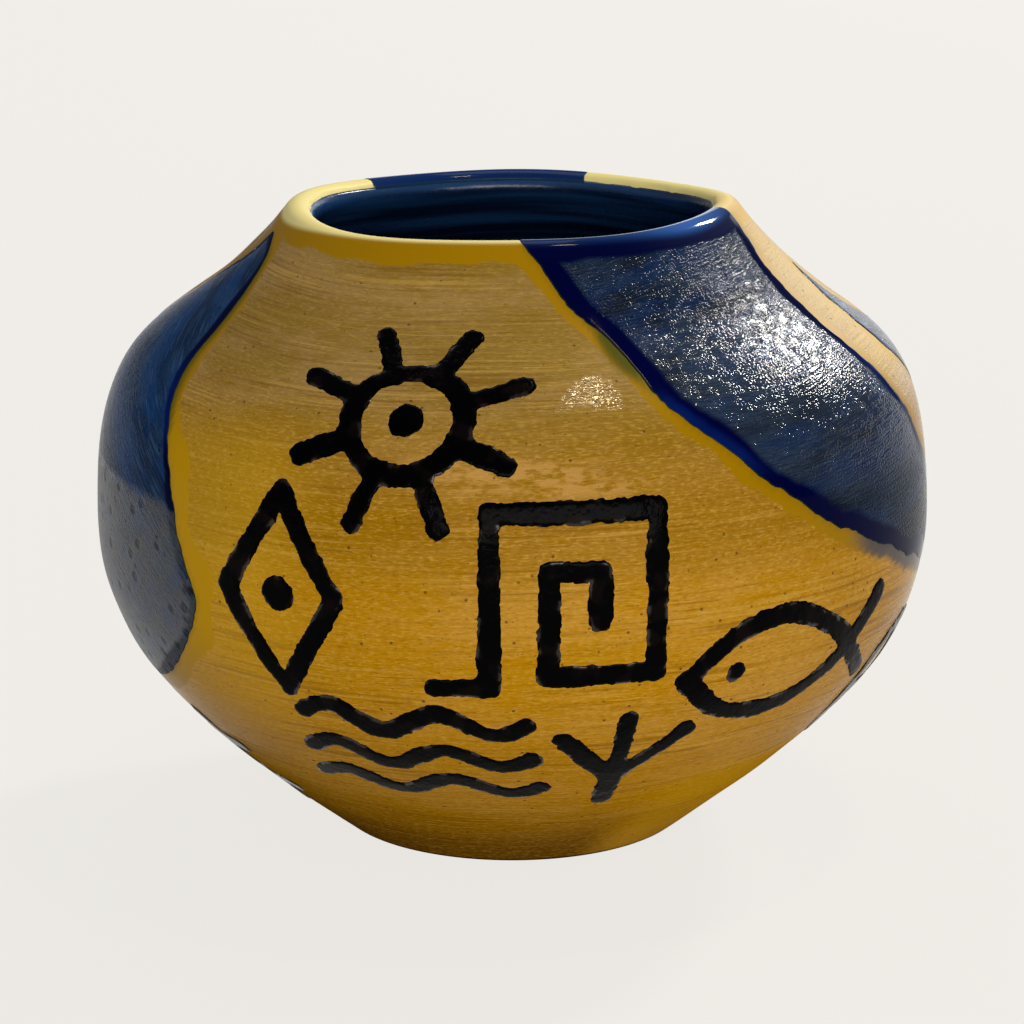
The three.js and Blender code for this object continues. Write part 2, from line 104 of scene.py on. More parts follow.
def quarter_round(inset: np.ndarray, width: float) -> np.ndarray:
    """A quarter circle from 0 at the edge to 1 at the width: the root of 1 less the square of the rest."""
    rest = 1.0 - np.clip(inset / width, 0.0, 1.0)
    return np.sqrt(1.0 - rest * rest)


def bezier(corners: list[np.ndarray], samples: int) -> np.ndarray:
    """Points of a Bezier curve, by blending neighbouring corners until one point is left.

    Args:
        corners: The control points.
        samples: How many points are wanted.

    Returns:
        The points, one a row.
    """
    share = np.linspace(0.0, 1.0, samples)[:, None]
    layer = [np.broadcast_to(corner, (samples, 2)) for corner in corners]
    while len(layer) > 1:
        layer = [first * (1.0 - share) + second * share for first, second in zip(layer, layer[1:])]
    return layer[0]


def spline(points: list[Point], shares: np.ndarray) -> np.ndarray:
    """Points of a smooth line through given ones, a cubic between each two of them.

    The slope at a point is half the step from the point before it to the point after it.

    Args:
        points: The points to pass through.
        shares: Where along the line to look, from 0 to 1, with each step between points as long.

    Returns:
        The points, one a row.
    """
    given = np.asarray(points, dtype=float)
    last = len(given) - 1
    place = np.clip(shares, 0.0, 1.0) * last
    step = np.minimum(place.astype(int), last - 1)
    rest = (place - step)[:, None]
    before, start, end, after = (given[np.clip(step + shift, 0, last)] for shift in (-1, 0, 1, 2))
    leave, arrive = (end - before) / 2.0, (after - start) / 2.0
    cubic = 2.0 * start - 2.0 * end + leave + arrive
    square = -3.0 * start + 3.0 * end - 2.0 * leave - arrive
    return ((cubic * rest + square) * rest + leave) * rest + start


def lengths_along(points: np.ndarray) -> np.ndarray:
    """The distance of each point from the first, along the line."""
    steps = np.linalg.norm(np.diff(points, axis=0), axis=1)
    return np.concatenate([[0.0], np.cumsum(steps)])


def left_of(line: np.ndarray, *spacing: np.ndarray) -> np.ndarray:
    """The unit direction to the left of a line at each of its points: its run there, a quarter turned.

    Args:
        line: The points, one a row.
        *spacing: How far along the line they lie, if they aren't taken as evenly spaced.

    Returns:
        The directions, one a row.
    """
    run = np.gradient(line, *spacing, axis=0)
    run /= np.linalg.norm(run, axis=1)[:, None] + TINY
    return np.stack([-run[:, 1], run[:, 0]], axis=-1)


def all_round(columns: int) -> np.ndarray:
    """Even bearings all round the pot, in one row."""
    return np.linspace(-180.0, 180.0, columns, endpoint=False)[None, :]


@dataclass(frozen=True)
class SoftNoise:
    """Smooth random values in the plane: random heights on a square lattice, blended in between.

    The lattice repeats after its size, so a pitch of 360 over the size closes a round in degrees.
    """

    seed: int
    size: int = 72

    def at(
        self, across: np.ndarray, up: np.ndarray, pitch: float, pitch_up: float | None = None
    ) -> np.ndarray:
        """Values from -1 to 1 at places of the plane.

        Args:
            across: First coordinates of the places.
            up: Second coordinates of the places.
            pitch: Lattice spacing across.
            pitch_up: Lattice spacing upwards, the same as across if not given.

        Returns:
            The values.
        """
        table = np.random.default_rng(self.seed).uniform(-1.0, 1.0, (self.size, self.size))
        x, y = np.broadcast_arrays(across / pitch, up / (pitch_up or pitch))
        column, row = np.floor(x).astype(int), np.floor(y).astype(int)
        right, rise = smooth_step(x - column, 0.0, 1.0), smooth_step(y - row, 0.0, 1.0)
        low, high = (
            table[(row + lift) % self.size, column % self.size] * (1.0 - right)
            + table[(row + lift) % self.size, (column + 1) % self.size] * right
            for lift in (0, 1)
        )
        return low * (1.0 - rise) + high * rise


@dataclass
class Skin:
    """The glazed skin in section, with the soft dents of a thrown wall and the uneven lip."""

    foot_radius: float = 29.0
    foot_flare: float = 38.0
    foot_pull: float = 38.0
    belly_radius: float = 70.0
    belly_height: float = 55.0
    belly_pull_down: float = 20.0
    belly_pull_up: float = 36.0
    neck_radius: float = 37.8
    neck_height: float = 104.9
    neck_slope: float = 52.0
    neck_pull: float = 28.0
    wall: float = 5.5
    floor: float = 8.0
    fillet: float = 9.0
    lip_wrap: float = 3.0
    shoulder_steps: int = 7
    foot_steps: int = 6
    samples: int = 700
    lip_waves: tuple[tuple[float, float, float], ...] = ((1, 0.4, -36), (2, 0.5, -21), (4, 0.3, -8))
    wave_fade: int = 4
    dent: float = 0.11
    line: np.ndarray = field(init=False)
    along: np.ndarray = field(init=False)
    outward: np.ndarray = field(init=False)
    neck: float = field(init=False)
    crest: float = field(init=False)

    def __post_init__(self) -> None:
        """Draws the section line and measures it."""
        flare, slope = np.radians([self.foot_flare, self.neck_slope])
        foot = np.array([self.foot_radius, 0.0])
        belly = np.array([self.belly_radius, self.belly_height])
        neck = np.array([self.neck_radius, self.neck_height])
        climb = np.array([-np.cos(slope), np.sin(slope)])
        first_pull = foot + self.foot_pull * np.array([np.cos(flare), np.sin(flare)])
        below, above = np.array([0.0, self.belly_pull_down]), np.array([0.0, self.belly_pull_up])
        low = bezier([foot, first_pull, belly - below, belly], self.samples)
        high = bezier([belly, belly + above, neck - self.neck_pull * climb, neck], self.samples)
        outside = np.vstack([low, high[1:]])
        half = self.wall / 2.0
        turn = np.linspace(np.pi / 2.0 - slope, 1.5 * np.pi - slope, self.samples // 4)
        centre = neck - half * np.array([np.sin(slope), np.cos(slope)])
        lip = centre + half * np.stack([np.cos(turn), np.sin(turn)], axis=-1)
        inner = self._inner_wall(low, high)
        self.line = np.vstack([outside, lip[1:], inner[1:], self._floor(inner)])
        self.along = lengths_along(self.line)
        self.outward = -left_of(self.line, self.along)
        self.neck = float(lengths_along(outside)[-1])
        self.crest = self.neck + half * slope

    def _inner_wall(self, low: np.ndarray, high: np.ndarray) -> np.ndarray:
        """The inner wall: the outside moved in by the wall's thickness, from the lip to the floor's fillet.

        Args:
            low: The outside from the foot to the belly.
            high: The outside from the belly to the neck.

        Returns:
            The line, from the lip down.
        """
        rows = []
        for curve, steps in ((high, self.shoulder_steps), (low, self.foot_steps)):
            along = lengths_along(curve)
            marks = np.linspace(1.0, 0.0, steps + 1)[:-1] * along[-1]
            moved = curve + self.wall * left_of(curve)
            rows.append(np.stack([np.interp(marks, along, part) for part in moved.T], axis=-1))
        points = np.vstack(rows)
        points = points[points[:, 1] > self.floor + self.fillet]
        return spline(points.tolist(), np.linspace(0.0, 1.0, self.samples))

    def _floor(self, inner: np.ndarray) -> np.ndarray:
        """The floor: a quarter bend from the inner wall's end, then a flat run to the axis.

        Args:
            inner: The inner wall, from the lip down.

        Returns:
            The line, from the wall to the axis.
        """
        top, direction = inner[-1], inner[-1] - inner[-2]
        corner = np.array([top[0] + direction[0] * (self.floor - top[1]) / direction[1], self.floor])
        edge = np.array([corner[0] - np.linalg.norm(top - corner), self.floor])
        bend = bezier([top, corner, edge], self.samples // 4)
        flat = np.linspace(edge, [0.0, self.floor], self.samples // 4)
        return np.vstack([bend[1:], flat[1:]])

    @property
    def glaze_end(self) -> float:
        """Where the outer glazes end, just inside the lip."""
        return self.crest + self.lip_wrap

    def radius(self, distance: np.ndarray) -> np.ndarray:
        """The radius of the pot at distances along the skin."""
        return np.interp(distance, self.along, self.line[:, 0])

    def section(self, distance: np.ndarray, height: np.ndarray) -> tuple[np.ndarray, np.ndarray]:
        """Radius and height above the floor of points raised off the skin along its outward side.

        Args:
            distance: Distances along the skin.
            height: How far the points stand off it.

        Returns:
            The radii and the heights.
        """
        radius, rise = (
            np.interp(distance, self.along, self.line[:, k])
            + height * np.interp(distance, self.along, self.outward[:, k])
            for k in (0, 1)
        )
        return radius, rise

    def dents(self, bearing: np.ndarray, distance: np.ndarray) -> np.ndarray:
        """How far the thrown wall swells and dips: long soft ridges round it, less near the foot and neck.

        Args:
            bearing: Bearings of the places.
            distance: Their distances along the skin.

        Returns:
            The heights off the skin.
        """
        ridges = SoftNoise(3).at(bearing, distance, 30.0, 7.0)
        ridges = ridges + 0.7 * SoftNoise(4).at(bearing, distance, 15.0, 16.0)
        return self.dent * ridges * hump(distance, (0.0, 12.0), (self.neck - 10.0, self.neck))

    def place(self, bearing: np.ndarray, distance: np.ndarray, height: np.ndarray) -> np.ndarray:
        """Points of the pot: the section turned to the bearing, with its dents, and settled at the lip.

        The lip rises by a sum of cosines of the bearing, times a power of the share of the neck's height.

        Args:
            bearing: Bearings in degrees.
            distance: Distances along the skin.
            height: Heights off the skin.

        Returns:
            The points, with a last axis of three.
        """
        bearing, distance, height = np.broadcast_arrays(bearing, distance, height)
        radius, rise = self.section(distance, height + self.dents(bearing, distance))
        angle = np.radians(bearing)
        fade = np.maximum(rise / self.neck_height, 0.0) ** self.wave_fade
        lift = sum(tall * np.cos(crests * (angle - np.radians(top))) for crests, tall, top in self.lip_waves)
        return np.stack([radius * np.cos(angle), radius * np.sin(angle), rise + fade * lift], axis=-1)

    def wall_values(self, bearing: np.ndarray, distance: np.ndarray) -> Values:
        """Where points are for their finish, in metres: in plan with a drifting distance, and the distance.

        Args:
            bearing: Bearings of the points.
            distance: Distances of the points.

        Returns:
            The values "wall" and "rise".
        """
        bearing, distance = np.broadcast_arrays(bearing, distance)
        angle, radius = np.radians(bearing), self.radius(distance)
        drift = 0.9 * SoftNoise(8).at(bearing, distance, 40.0, 36.0)
        drift = drift + 0.12 * SoftNoise(9).at(bearing, distance, 10.0, 9.0)
        wall = np.stack([radius * np.cos(angle), radius * np.sin(angle), distance + drift], axis=-1)
        return {"wall": wall * MM, "rise": distance * MM}


def new_object(name: str, data: bpy.types.ID) -> bpy.types.Object:
    """A new object in the scene.

    Args:
        name: Its name.
        data: The mesh, lamp or camera that it shows.

    Returns:
        The object.
    """
    made = bpy.data.objects.new(name, data)
    bpy.context.scene.collection.objects.link(made)
    return made


@dataclass
class Sheet:
    """A closed mesh in the making: points, faces of four, faces of three, and values at the points."""

    points: np.ndarray
    quads: np.ndarray
    fans: np.ndarray = field(default_factory=lambda: np.zeros((0, 3), dtype=int))
    values: Values = field(default_factory=dict)

    def turn_outwards(self) -> None:
        """Reverses the faces if the volume they enclose is negative."""
        triangles = np.vstack([self.quads[:, [0, 1, 2]], self.quads[:, [0, 2, 3]], self.fans])
        first, second, third = (self.points[triangles[:, k]] for k in range(3))
        if np.einsum("ij,ij->", first, np.cross(second, third)) < 0.0:
            self.quads, self.fans = self.quads[:, ::-1], self.fans[:, ::-1]

    def publish(self, name: str, finish: "Finish", nodes: list[str]) -> Piece:
        """Makes the Blender object, dresses it, hangs it under the body and hides the CAD nodes it stands
        for.

        Args:
            name: The piece's name.
            finish: Its finish.
            nodes: The CAD nodes it replaces.

        Returns:
            The object.
        """
        self.turn_outwards()
        mesh = bpy.data.meshes.new(name)
        mesh.from_pydata((self.points * MM).tolist(), [], self.quads.tolist() + self.fans.tolist())
        mesh.polygons.foreach_set("use_smooth", np.ones(len(mesh.polygons), dtype=bool))
        for title, value in self.values.items():
            vector = value.ndim == 2
            layer = mesh.attributes.new(title, "FLOAT_VECTOR" if vector else "FLOAT", "POINT")
            layer.data.foreach_set("vector" if vector else "value", value.astype(np.float32).ravel())
        mesh.materials.append(finish.material())
        mesh.update()
        piece = new_object(name, mesh)
        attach(piece, BODY)
        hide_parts(*nodes)
        counts = len(self.points), len(mesh.polygons)
        log.info("%s: %d points, %d faces, stands for %s", name, *counts, ", ".join(nodes))
        return piece


def ring_faces(rows: int, columns: int, looped: bool) -> np.ndarray:
    """Faces between neighbouring rings of points.

    Args:
        rows: How many rings there are.
        columns: How many points a ring has.
        looped: Whether the last ring joins the first.

    Returns:
        The corners of the faces, four a row.
    """
    row = np.arange(rows if looped else rows - 1)[:, None]
    column = np.arange(columns)[None, :]
    here, above, right = row * columns, (row + 1) % rows * columns, (column + 1) % columns
    return np.stack([here + column, here + right, above + right, above + column], axis=-1).reshape(-1, 4)


def closed_loop(rings: np.ndarray, values: Values) -> Sheet:
    """A closed coat whose section is a loop: each ring joins the next, and the last joins the first."""
    flat = {title: value.reshape(-1, *value.shape[2:]) for title, value in values.items()}
    return Sheet(rings.reshape(-1, 3), ring_faces(*rings.shape[:2], True), values=flat)


def closed_round(rings: np.ndarray, values: Values) -> Sheet:
    """A closed round body: the first and the last ring lie on the axis and become one point each.

    Args:
        rings: The points, by ring and then by bearing.
        values: Values at the points, in the same order.

    Returns:
        The sheet.
    """
    rows, columns = rings.shape[:2]

    def gathered(grid: np.ndarray) -> np.ndarray:
        """The inner rings as they are, and the means of the two end rings."""
        return np.concatenate([grid[1:-1].reshape(-1, *grid.shape[2:]), grid[[0, -1]].mean(axis=1)])

    start, column = (rows - 2) * columns, np.arange(columns)
    right, last = (column + 1) % columns, start - columns
    first_fan = np.stack([np.full(columns, start), right, column], axis=-1)
    last_fan = np.stack([np.full(columns, start + 1), last + column, last + right], axis=-1)
    fans = np.vstack([first_fan, last_fan])
    flat = {title: gathered(value) for title, value in values.items()}
    return Sheet(gathered(rings), ring_faces(rows - 2, columns, False), fans, flat)


def cell_corners(grid: np.ndarray) -> tuple[np.ndarray, ...]:
    """What a grid holds at each cell's low left, low right, high right and high left corner."""
    return grid[:-1, :-1], grid[:-1, 1:], grid[1:, 1:], grid[1:, :-1]


def closed_patch(face: np.ndarray, back: np.ndarray, kept: np.ndarray, values: Values) -> Sheet:
    """A closed patch: the kept cells of a grid as a face and a back, with a wall round every open edge.

    Args:
        face: The points of the face, by row and column.
        back: The points of the back, in the same order.
        kept: Which cells between the points are kept.
        values: Values at the points, which face and back share.

    Returns:
        The sheet.
    """
    behind = face.shape[0] * face.shape[1]
    corners = cell_corners(np.arange(behind).reshape(face.shape[:2]))
    front = np.stack(corners, axis=-1)[kept]
    around = np.pad(kept, 1)
    neighbours = (around[:-2, 1:-1], around[1:-1, 2:], around[2:, 1:-1], around[1:-1, :-2])
    walls = []
    for side, neighbour in enumerate(neighbours):
        edge = kept & ~neighbour
        first, second = corners[side][edge], corners[(side + 1) % 4][edge]
        walls.append(np.stack([second, first, first + behind, second + behind], axis=-1))
    quads = np.vstack([front, front[:, ::-1] + behind, *walls])
    used, renamed = np.unique(quads, return_inverse=True)
    points = np.vstack([face.reshape(-1, 3), back.reshape(-1, 3)])[used]
    flat = {title: value.reshape(behind, *value.shape[2:])[used % behind] for title, value in values.items()}
    return Sheet(points, renamed.reshape(quads.shape), values=flat)


@dataclass(frozen=True)
class Signal:
    """A number that a material works out at each point, which the usual signs join to other numbers."""

    bench: "Bench"
    socket: Socket

    def __add__(self, other: "Signal | float") -> "Signal":
        """The sum."""
        return self.bench.combine("ADD", self, other)

    def __sub__(self, other: "Signal | float") -> "Signal":
        """The difference."""
        return self.bench.combine("SUBTRACT", self, other)

    def __rsub__(self, other: float) -> "Signal":
        """The difference from a plain number."""
        return self.bench.combine("SUBTRACT", other, self)

    def __mul__(self, other: "Signal | float") -> "Signal":
        """The product."""
        return self.bench.combine("MULTIPLY", self, other)

    def __or__(self, other: "Signal | float") -> "Signal":
        """The greater of the two."""
        return self.bench.combine("MAXIMUM", self, other)

    def ramp(self, low: float, high: float, top: float = 1.0, bottom: float = 0.0) -> "Signal":
        """The number mapped smoothly from low..high to bottom..top. Low may be above high.

        Args:
            low: The number that gives the bottom.
            high: The number that gives the top.
            top: What high gives.
            bottom: What low gives.

        Returns:
            The mapped number.
        """
        feeds = {"Value": self, "From Min": low, "From Max": high, "To Min": bottom, "To Max": top}
        made = self.bench.node("ShaderNodeMapRange", feeds, interpolation_type="SMOOTHSTEP")
        return Signal(self.bench, made.outputs[0])


@dataclass
class Bench:
    """A material's nodes, with short calls for those that the finishes share."""

    tree: bpy.types.NodeTree

    MIX_FACTOR = 0
    MIX_FIRST = 6
    MIX_SECOND = 7
    MIX_RESULT = 2
    SPECK_CORE = 0.4

    def feed(self, socket: Socket, value: object) -> None:
        """Links a socket to a signal or another socket, or sets it to a plain value.

        Args:
            socket: The socket to feed.
            value: What goes into it.
        """
        value = value.socket if isinstance(value, Signal) else value
        if isinstance(value, Socket):
            self.tree.links.new(value, socket)
        else:
            socket.default_value = value

    def node(self, kind: str, feeds: dict[str | int, object], **settings: str) -> bpy.types.Node:
        """A new node.

        Args:
            kind: Its kind.
            feeds: What goes into its sockets, by their names or numbers.
            **settings: Its settings.

        Returns:
            The node.
        """
        made = self.tree.nodes.new(kind)
        for title, value in settings.items():
            setattr(made, title, value)
        for place, value in feeds.items():
            self.feed(made.inputs[place], value)
        return made

    @cached_property
    def wall(self) -> Socket:
        """Where on the wall a point is, as the mesh carries it."""
        return self.node("ShaderNodeAttribute", {}, attribute_name="wall").outputs["Vector"]

    def value_of(self, title: str) -> Signal:
        """A number that the mesh carries at its points."""
        return Signal(self, self.node("ShaderNodeAttribute", {}, attribute_name=title).outputs["Fac"])

    def combine(self, operation: str, first: Signal | float, second: Signal | float) -> Signal:
        """Two numbers combined by an operation of the Math node."""
        made = self.node("ShaderNodeMath", {0: first, 1: second}, operation=operation)
        return Signal(self, made.outputs[0])

    def noise(self, patches: Patches) -> Signal:
        """Cloudy values from 0 to 1.

        Args:
            patches: How small the clouds are.

        Returns:
            The values.
        """
        across, up, detail = patches
        scales = (across, across, up)
        stretched = self.node("ShaderNodeVectorMath", {0: self.wall, 1: scales}, operation="MULTIPLY")
        feeds = {"Vector": stretched.outputs[0], "Scale": 1.0, "Detail": detail}
        return Signal(self, self.node("ShaderNodeTexNoise", feeds, noise_dimensions="3D").outputs["Fac"])

    def specks(self, specks: Specks) -> Signal:
        """Sparse specks: 1 near the middle of some cells, 0 elsewhere.

        Args:
            specks: How many there are and how large.

        Returns:
            The specks.
        """
        count, size, share = specks
        cells = self.node("ShaderNodeTexVoronoi", {"Vector": self.wall, "Scale": count}, feature="F1").outputs
        draw = Signal(self, self.node("ShaderNodeSeparateColor", {0: cells["Color"]}).outputs[0])
        near = Signal(self, cells["Distance"]).ramp(size, size * self.SPECK_CORE)
        return near * self.combine("LESS_THAN", draw, share)

    def blend(self, share: Signal, first: Socket | Colour, second: Socket | Colour) -> Socket:
        """A colour between two, each a socket or three sRGB numbers from 0 to 255.

        Args:
            share: How much of the second is in it.
            first: The first colour.
            second: The second colour.

        Returns:
            The blended colour.
        """
        first, second = (given if isinstance(given, Socket) else linear(given) for given in (first, second))
        feeds = {self.MIX_FACTOR: share, self.MIX_FIRST: first, self.MIX_SECOND: second}
        return self.node("ShaderNodeMix", feeds, data_type="RGBA").outputs[self.MIX_RESULT]

    def layered(self, colour: Socket, *layers: tuple[Signal, Socket | Colour]) -> Socket:
        """A colour with others laid over it in turn.

        Args:
            colour: The colour under them all.
            *layers: The share of each colour, and the colour.

        Returns:
            The layered colour.
        """
        for share, over in layers:
            colour = self.blend(share, colour, over)
        return colour

    def bumped(self, *heights: tuple[Signal, float]) -> Socket:
        """A normal bent by heights in turn.

        Args:
            *heights: Each height, and the depth in millimetres that it counts for.

        Returns:
            The bent normal.
        """
        under = {}
        for height, depth in heights:
            feeds = {"Height": height, "Distance": depth * MM, "Strength": 1.0, **under}
            under = {"Normal": self.node("ShaderNodeBump", feeds).outputs[0]}
        return under["Normal"]


def linear(colour: Colour) -> tuple[float, float, float, float]:
    """A colour of three sRGB numbers as Blender's linear colour.

    Low shares are divided by a number, and the others are raised to a power after a shift.

    Args:
        colour: The sRGB numbers, from 0 to 255.

    Returns:
        The linear shares, and 1 for opaque.
    """
    share = np.asarray(colour, dtype=float) / 255.0
    low, high = share / 12.92, ((share + 0.055) / 1.055) ** 2.4
    return (*np.where(share <= 0.04045, low, high).tolist(), 1.0)


@dataclass(frozen=True)
class Look:
    """What a finish gives the shader: its colour, roughness, normal and how strongly it mirrors."""

    colour: Socket
    roughness: Signal
    normal: Socket
    specular: Signal | float


@dataclass(frozen=True)
class Finish:
    """What every finish has: a name, a record slot and how strongly it mirrors.

    Its other fields are colours, the sizes of its patterns and the depths of its bumps. Where it ramps a
    pattern, the numbers say where the pattern starts to show, where it shows in full, and how strongly.
    """

    name: str
    slot: Slot
    specular: float = 0.5

    def material(self) -> bpy.types.Material:
        """The finish's material, made the first time it is asked for.

        Returns:
            The material.
        """
        made = bpy.data.materials.get(self.name)
        if made:
            return made
        made = bpy.data.materials.new(self.name)
        made.use_nodes = True
        bench = Bench(made.node_tree)
        shader = made.node_tree.nodes["Principled BSDF"]
        look = self.paint(bench)
        bench.feed(shader.inputs["Base Color"], look.colour)
        bench.feed(shader.inputs["Roughness"], look.roughness)
        bench.feed(shader.inputs["Normal"], look.normal)
        bench.feed(shader.inputs["Specular IOR Level"], look.specular)
        return made

    def paint(self, bench: Bench) -> Look:
        """Builds the finish's nodes."""
        raise NotImplementedError


@dataclass(frozen=True)
class YellowGlaze(Finish):
    """Golden glaze brushed round the pot, with beige haze, fine scored lines, specks and pits.

    It lies smooth and deep under the lip and beside the blue and runs green along it. Painted highlight
    makes it pale on the crest of the lip, and painted shade makes it darker above the belly, olive towards
    the neck, where it is duller too, and brown towards the foot. The mesh says where it mirrors the lamps
    (shine), where painted sheen makes it paler (glow, and a patch above the belly), where painted light
    makes it warmer and lighter, and where blue washes it. The zones are heights along the wall in metres.
    """

    name: str = "yellow_glaze_finish"
    slot: Slot = Slot.YELLOW
    specular: float = 0.05
    shiny: float = 0.9
    sheen: float = 0.5
    least_rough: float = 0.08
    line_depth: float = 0.2
    grain_depth: float = 0.12
    dash_depth: float = 0.2
    pit_depth: float = 0.1
    cloud: Patches = (24.0, 62.0, 4.0)
    mottle: Patches = (300.0, 900.0, 5.0)
    lines: Patches = (45.0, 1900.0, 2.0)
    bands: Patches = (14.0, 420.0, 3.0)
    grain: Patches = (1000.0, 3600.0, 2.0)
    zones: Patches = (24.0, 170.0, 2.0)
    broken: Patches = (380.0, 900.0, 6.0)
    dashes: Patches = (700.0, 2300.0, 1.0)
    # Painted shade: the shade zone darkens the glaze above the belly, and the neck zone turns it olive and
    # darker towards the neck.
    shade_zone: Span = (0.07, 0.084)
    neck_zone: Span = (0.084, 0.11)
    painted_foot_shade_zone: Span = (0.03, 0.004)
    strong_zone: Span = (0.112, 0.092)
    dry_foot_zone: Span = (0.05, 0.012)
    dry_neck_zone: Span = (0.096, 0.102)
    mirror_zone: Span = (0.03, 0.075)
    small_specks: Specks = (700.0, 0.14, 0.8)
    large_specks: Specks = (360.0, 0.12, 0.8)
    gold: Colour = (198, 140, 0)
    # beige and dull are the colours of the painted sheen (the haze).
    beige: Colour = (206, 150, 48)
    honey: Colour = (198, 138, 14)
    straw: Colour = (226, 180, 82)
    scored: Colour = (128, 84, 8)
    # olive and shade are colours of painted shade.
    olive: Colour = (148, 118, 46)
    dull: Colour = (166, 134, 76)
    shade: Colour = (154, 110, 2)
    deep: Colour = (170, 126, 0)
    # golden and amber are colours of the painted light.
    golden: Colour = (208, 156, 0)
    amber: Colour = (244, 190, 34)
    green: Colour = (64, 74, 2)
    # brown is the colour of the painted shade at the foot.
    brown: Colour = (118, 76, 2)
    # pale is the colour of the painted highlight on the crest of the lip.
    pale: Colour = (255, 240, 158)
    # The colour of the painted sheen patch above the belly.
    painted_sheen_patch: Colour = (206, 156, 78)
    # sunlit is the colour of the painted sheen on the right shoulder.
    sunlit: Colour = (244, 208, 122)
    wash: Colour = (74, 74, 84)
    speck: Colour = (84, 52, 16)

    def paint(self, bench: Bench) -> Look:
        """Haze of painted sheen, the tones by height with their painted shade, grain, scored lines, pools,
        the places of painted light and sheen, the stains and the specks.

        Args:
            bench: What makes the nodes.

        Returns:
            What the shader takes.
        """
        rise, painted_light, shine, glow = (bench.value_of(title) for title in ("rise", "painted_light", "shine", "glow"))
        smooth = bench.value_of("pool").ramp(0.3, 0.7)
        rough_skin = 1.0 - smooth
        coarse = rough_skin * (1.0 - shine)
        lines, bands, grain = (bench.noise(size) for size in (self.lines, self.bands, self.grain))
        zones = bench.noise(self.zones).ramp(0.44, 0.6, 1.0, 0.3)
        broken = bench.noise(self.broken).ramp(0.42, 0.56, 0.8)
        # The haze is painted sheen: a paler, duller colour laid where the glaze would catch broad light.
        haze = (bench.noise(self.cloud) + bench.noise(self.mottle) * 0.35 + bands * 0.08).ramp(0.64, 0.84)
        strong = rise.ramp(*self.strong_zone, 1.0, 0.55)
        spots = (bench.specks(self.small_specks) * 0.55 | bench.specks(self.large_specks)) * rough_skin
        colour = bench.layered(
            bench.blend(haze, self.gold, self.beige),
            (bands.ramp(0.44, 0.6, 0.15), self.honey),
            # Painted shade: darker amber above the belly, then olive towards the neck with painted sheen
            # (dull) over it.
            (rise.ramp(*self.shade_zone, 0.7), self.shade),
            (rise.ramp(*self.neck_zone, 0.9), bench.blend(haze, self.olive, self.dull)),
            # Painted shade: brown towards the foot, lifted where the painted light lies.
            (rise.ramp(*self.painted_foot_shade_zone, 0.9) * (1.0 - painted_light), self.brown),
            (grain.ramp(0.5, 0.7, 0.42) * strong, self.straw),
            (grain.ramp(0.46, 0.26, 0.4) * strong, self.scored),
            (zones * lines.ramp(0.53, 0.66, 0.5), self.scored),
            (zones * lines.ramp(0.46, 0.34, 0.34), self.straw),
            # Painted light: warmer amber in the lit places, and a lighter golden pool there.
            (painted_light * 0.3, self.amber),
            (smooth, bench.blend(painted_light, self.deep, self.golden)),
            (bench.value_of("fringe"), self.green),
            # Painted highlight: pale on the crest of the lip, wider at its left end.
            (bench.value_of("crest"), self.pale),
            # Painted sheen: a broken paler patch above the belly at the front.
            (bench.value_of("painted_sheen_patch") * broken, self.painted_sheen_patch),
            (bench.value_of("wash"), self.wash),
            # Painted sheen: a paler sunlit colour on the right shoulder (glow).
            (glow * 0.6, self.sunlit),
            (spots * 0.75, self.speck),
        )
        normal = bench.bumped(
            ((lines - 0.5) * zones * coarse, self.line_depth),
            ((grain - 0.5) * coarse, self.grain_depth),
            ((bench.noise(self.dashes) - 0.5) * shine, self.dash_depth),
            (spots * -1.0, self.pit_depth),
        )
        dry = haze * 0.06 + rise.ramp(*self.dry_foot_zone, 0.35) + rise.ramp(*self.dry_neck_zone, 0.25)
        rough = (dry + smooth * 0.1) * (1.0 - shine) + glow * 0.2 + self.least_rough
        specular = rise.ramp(*self.mirror_zone, self.specular) | shine * self.shiny | glow * self.sheen
        return Look(colour, rough, normal, specular)


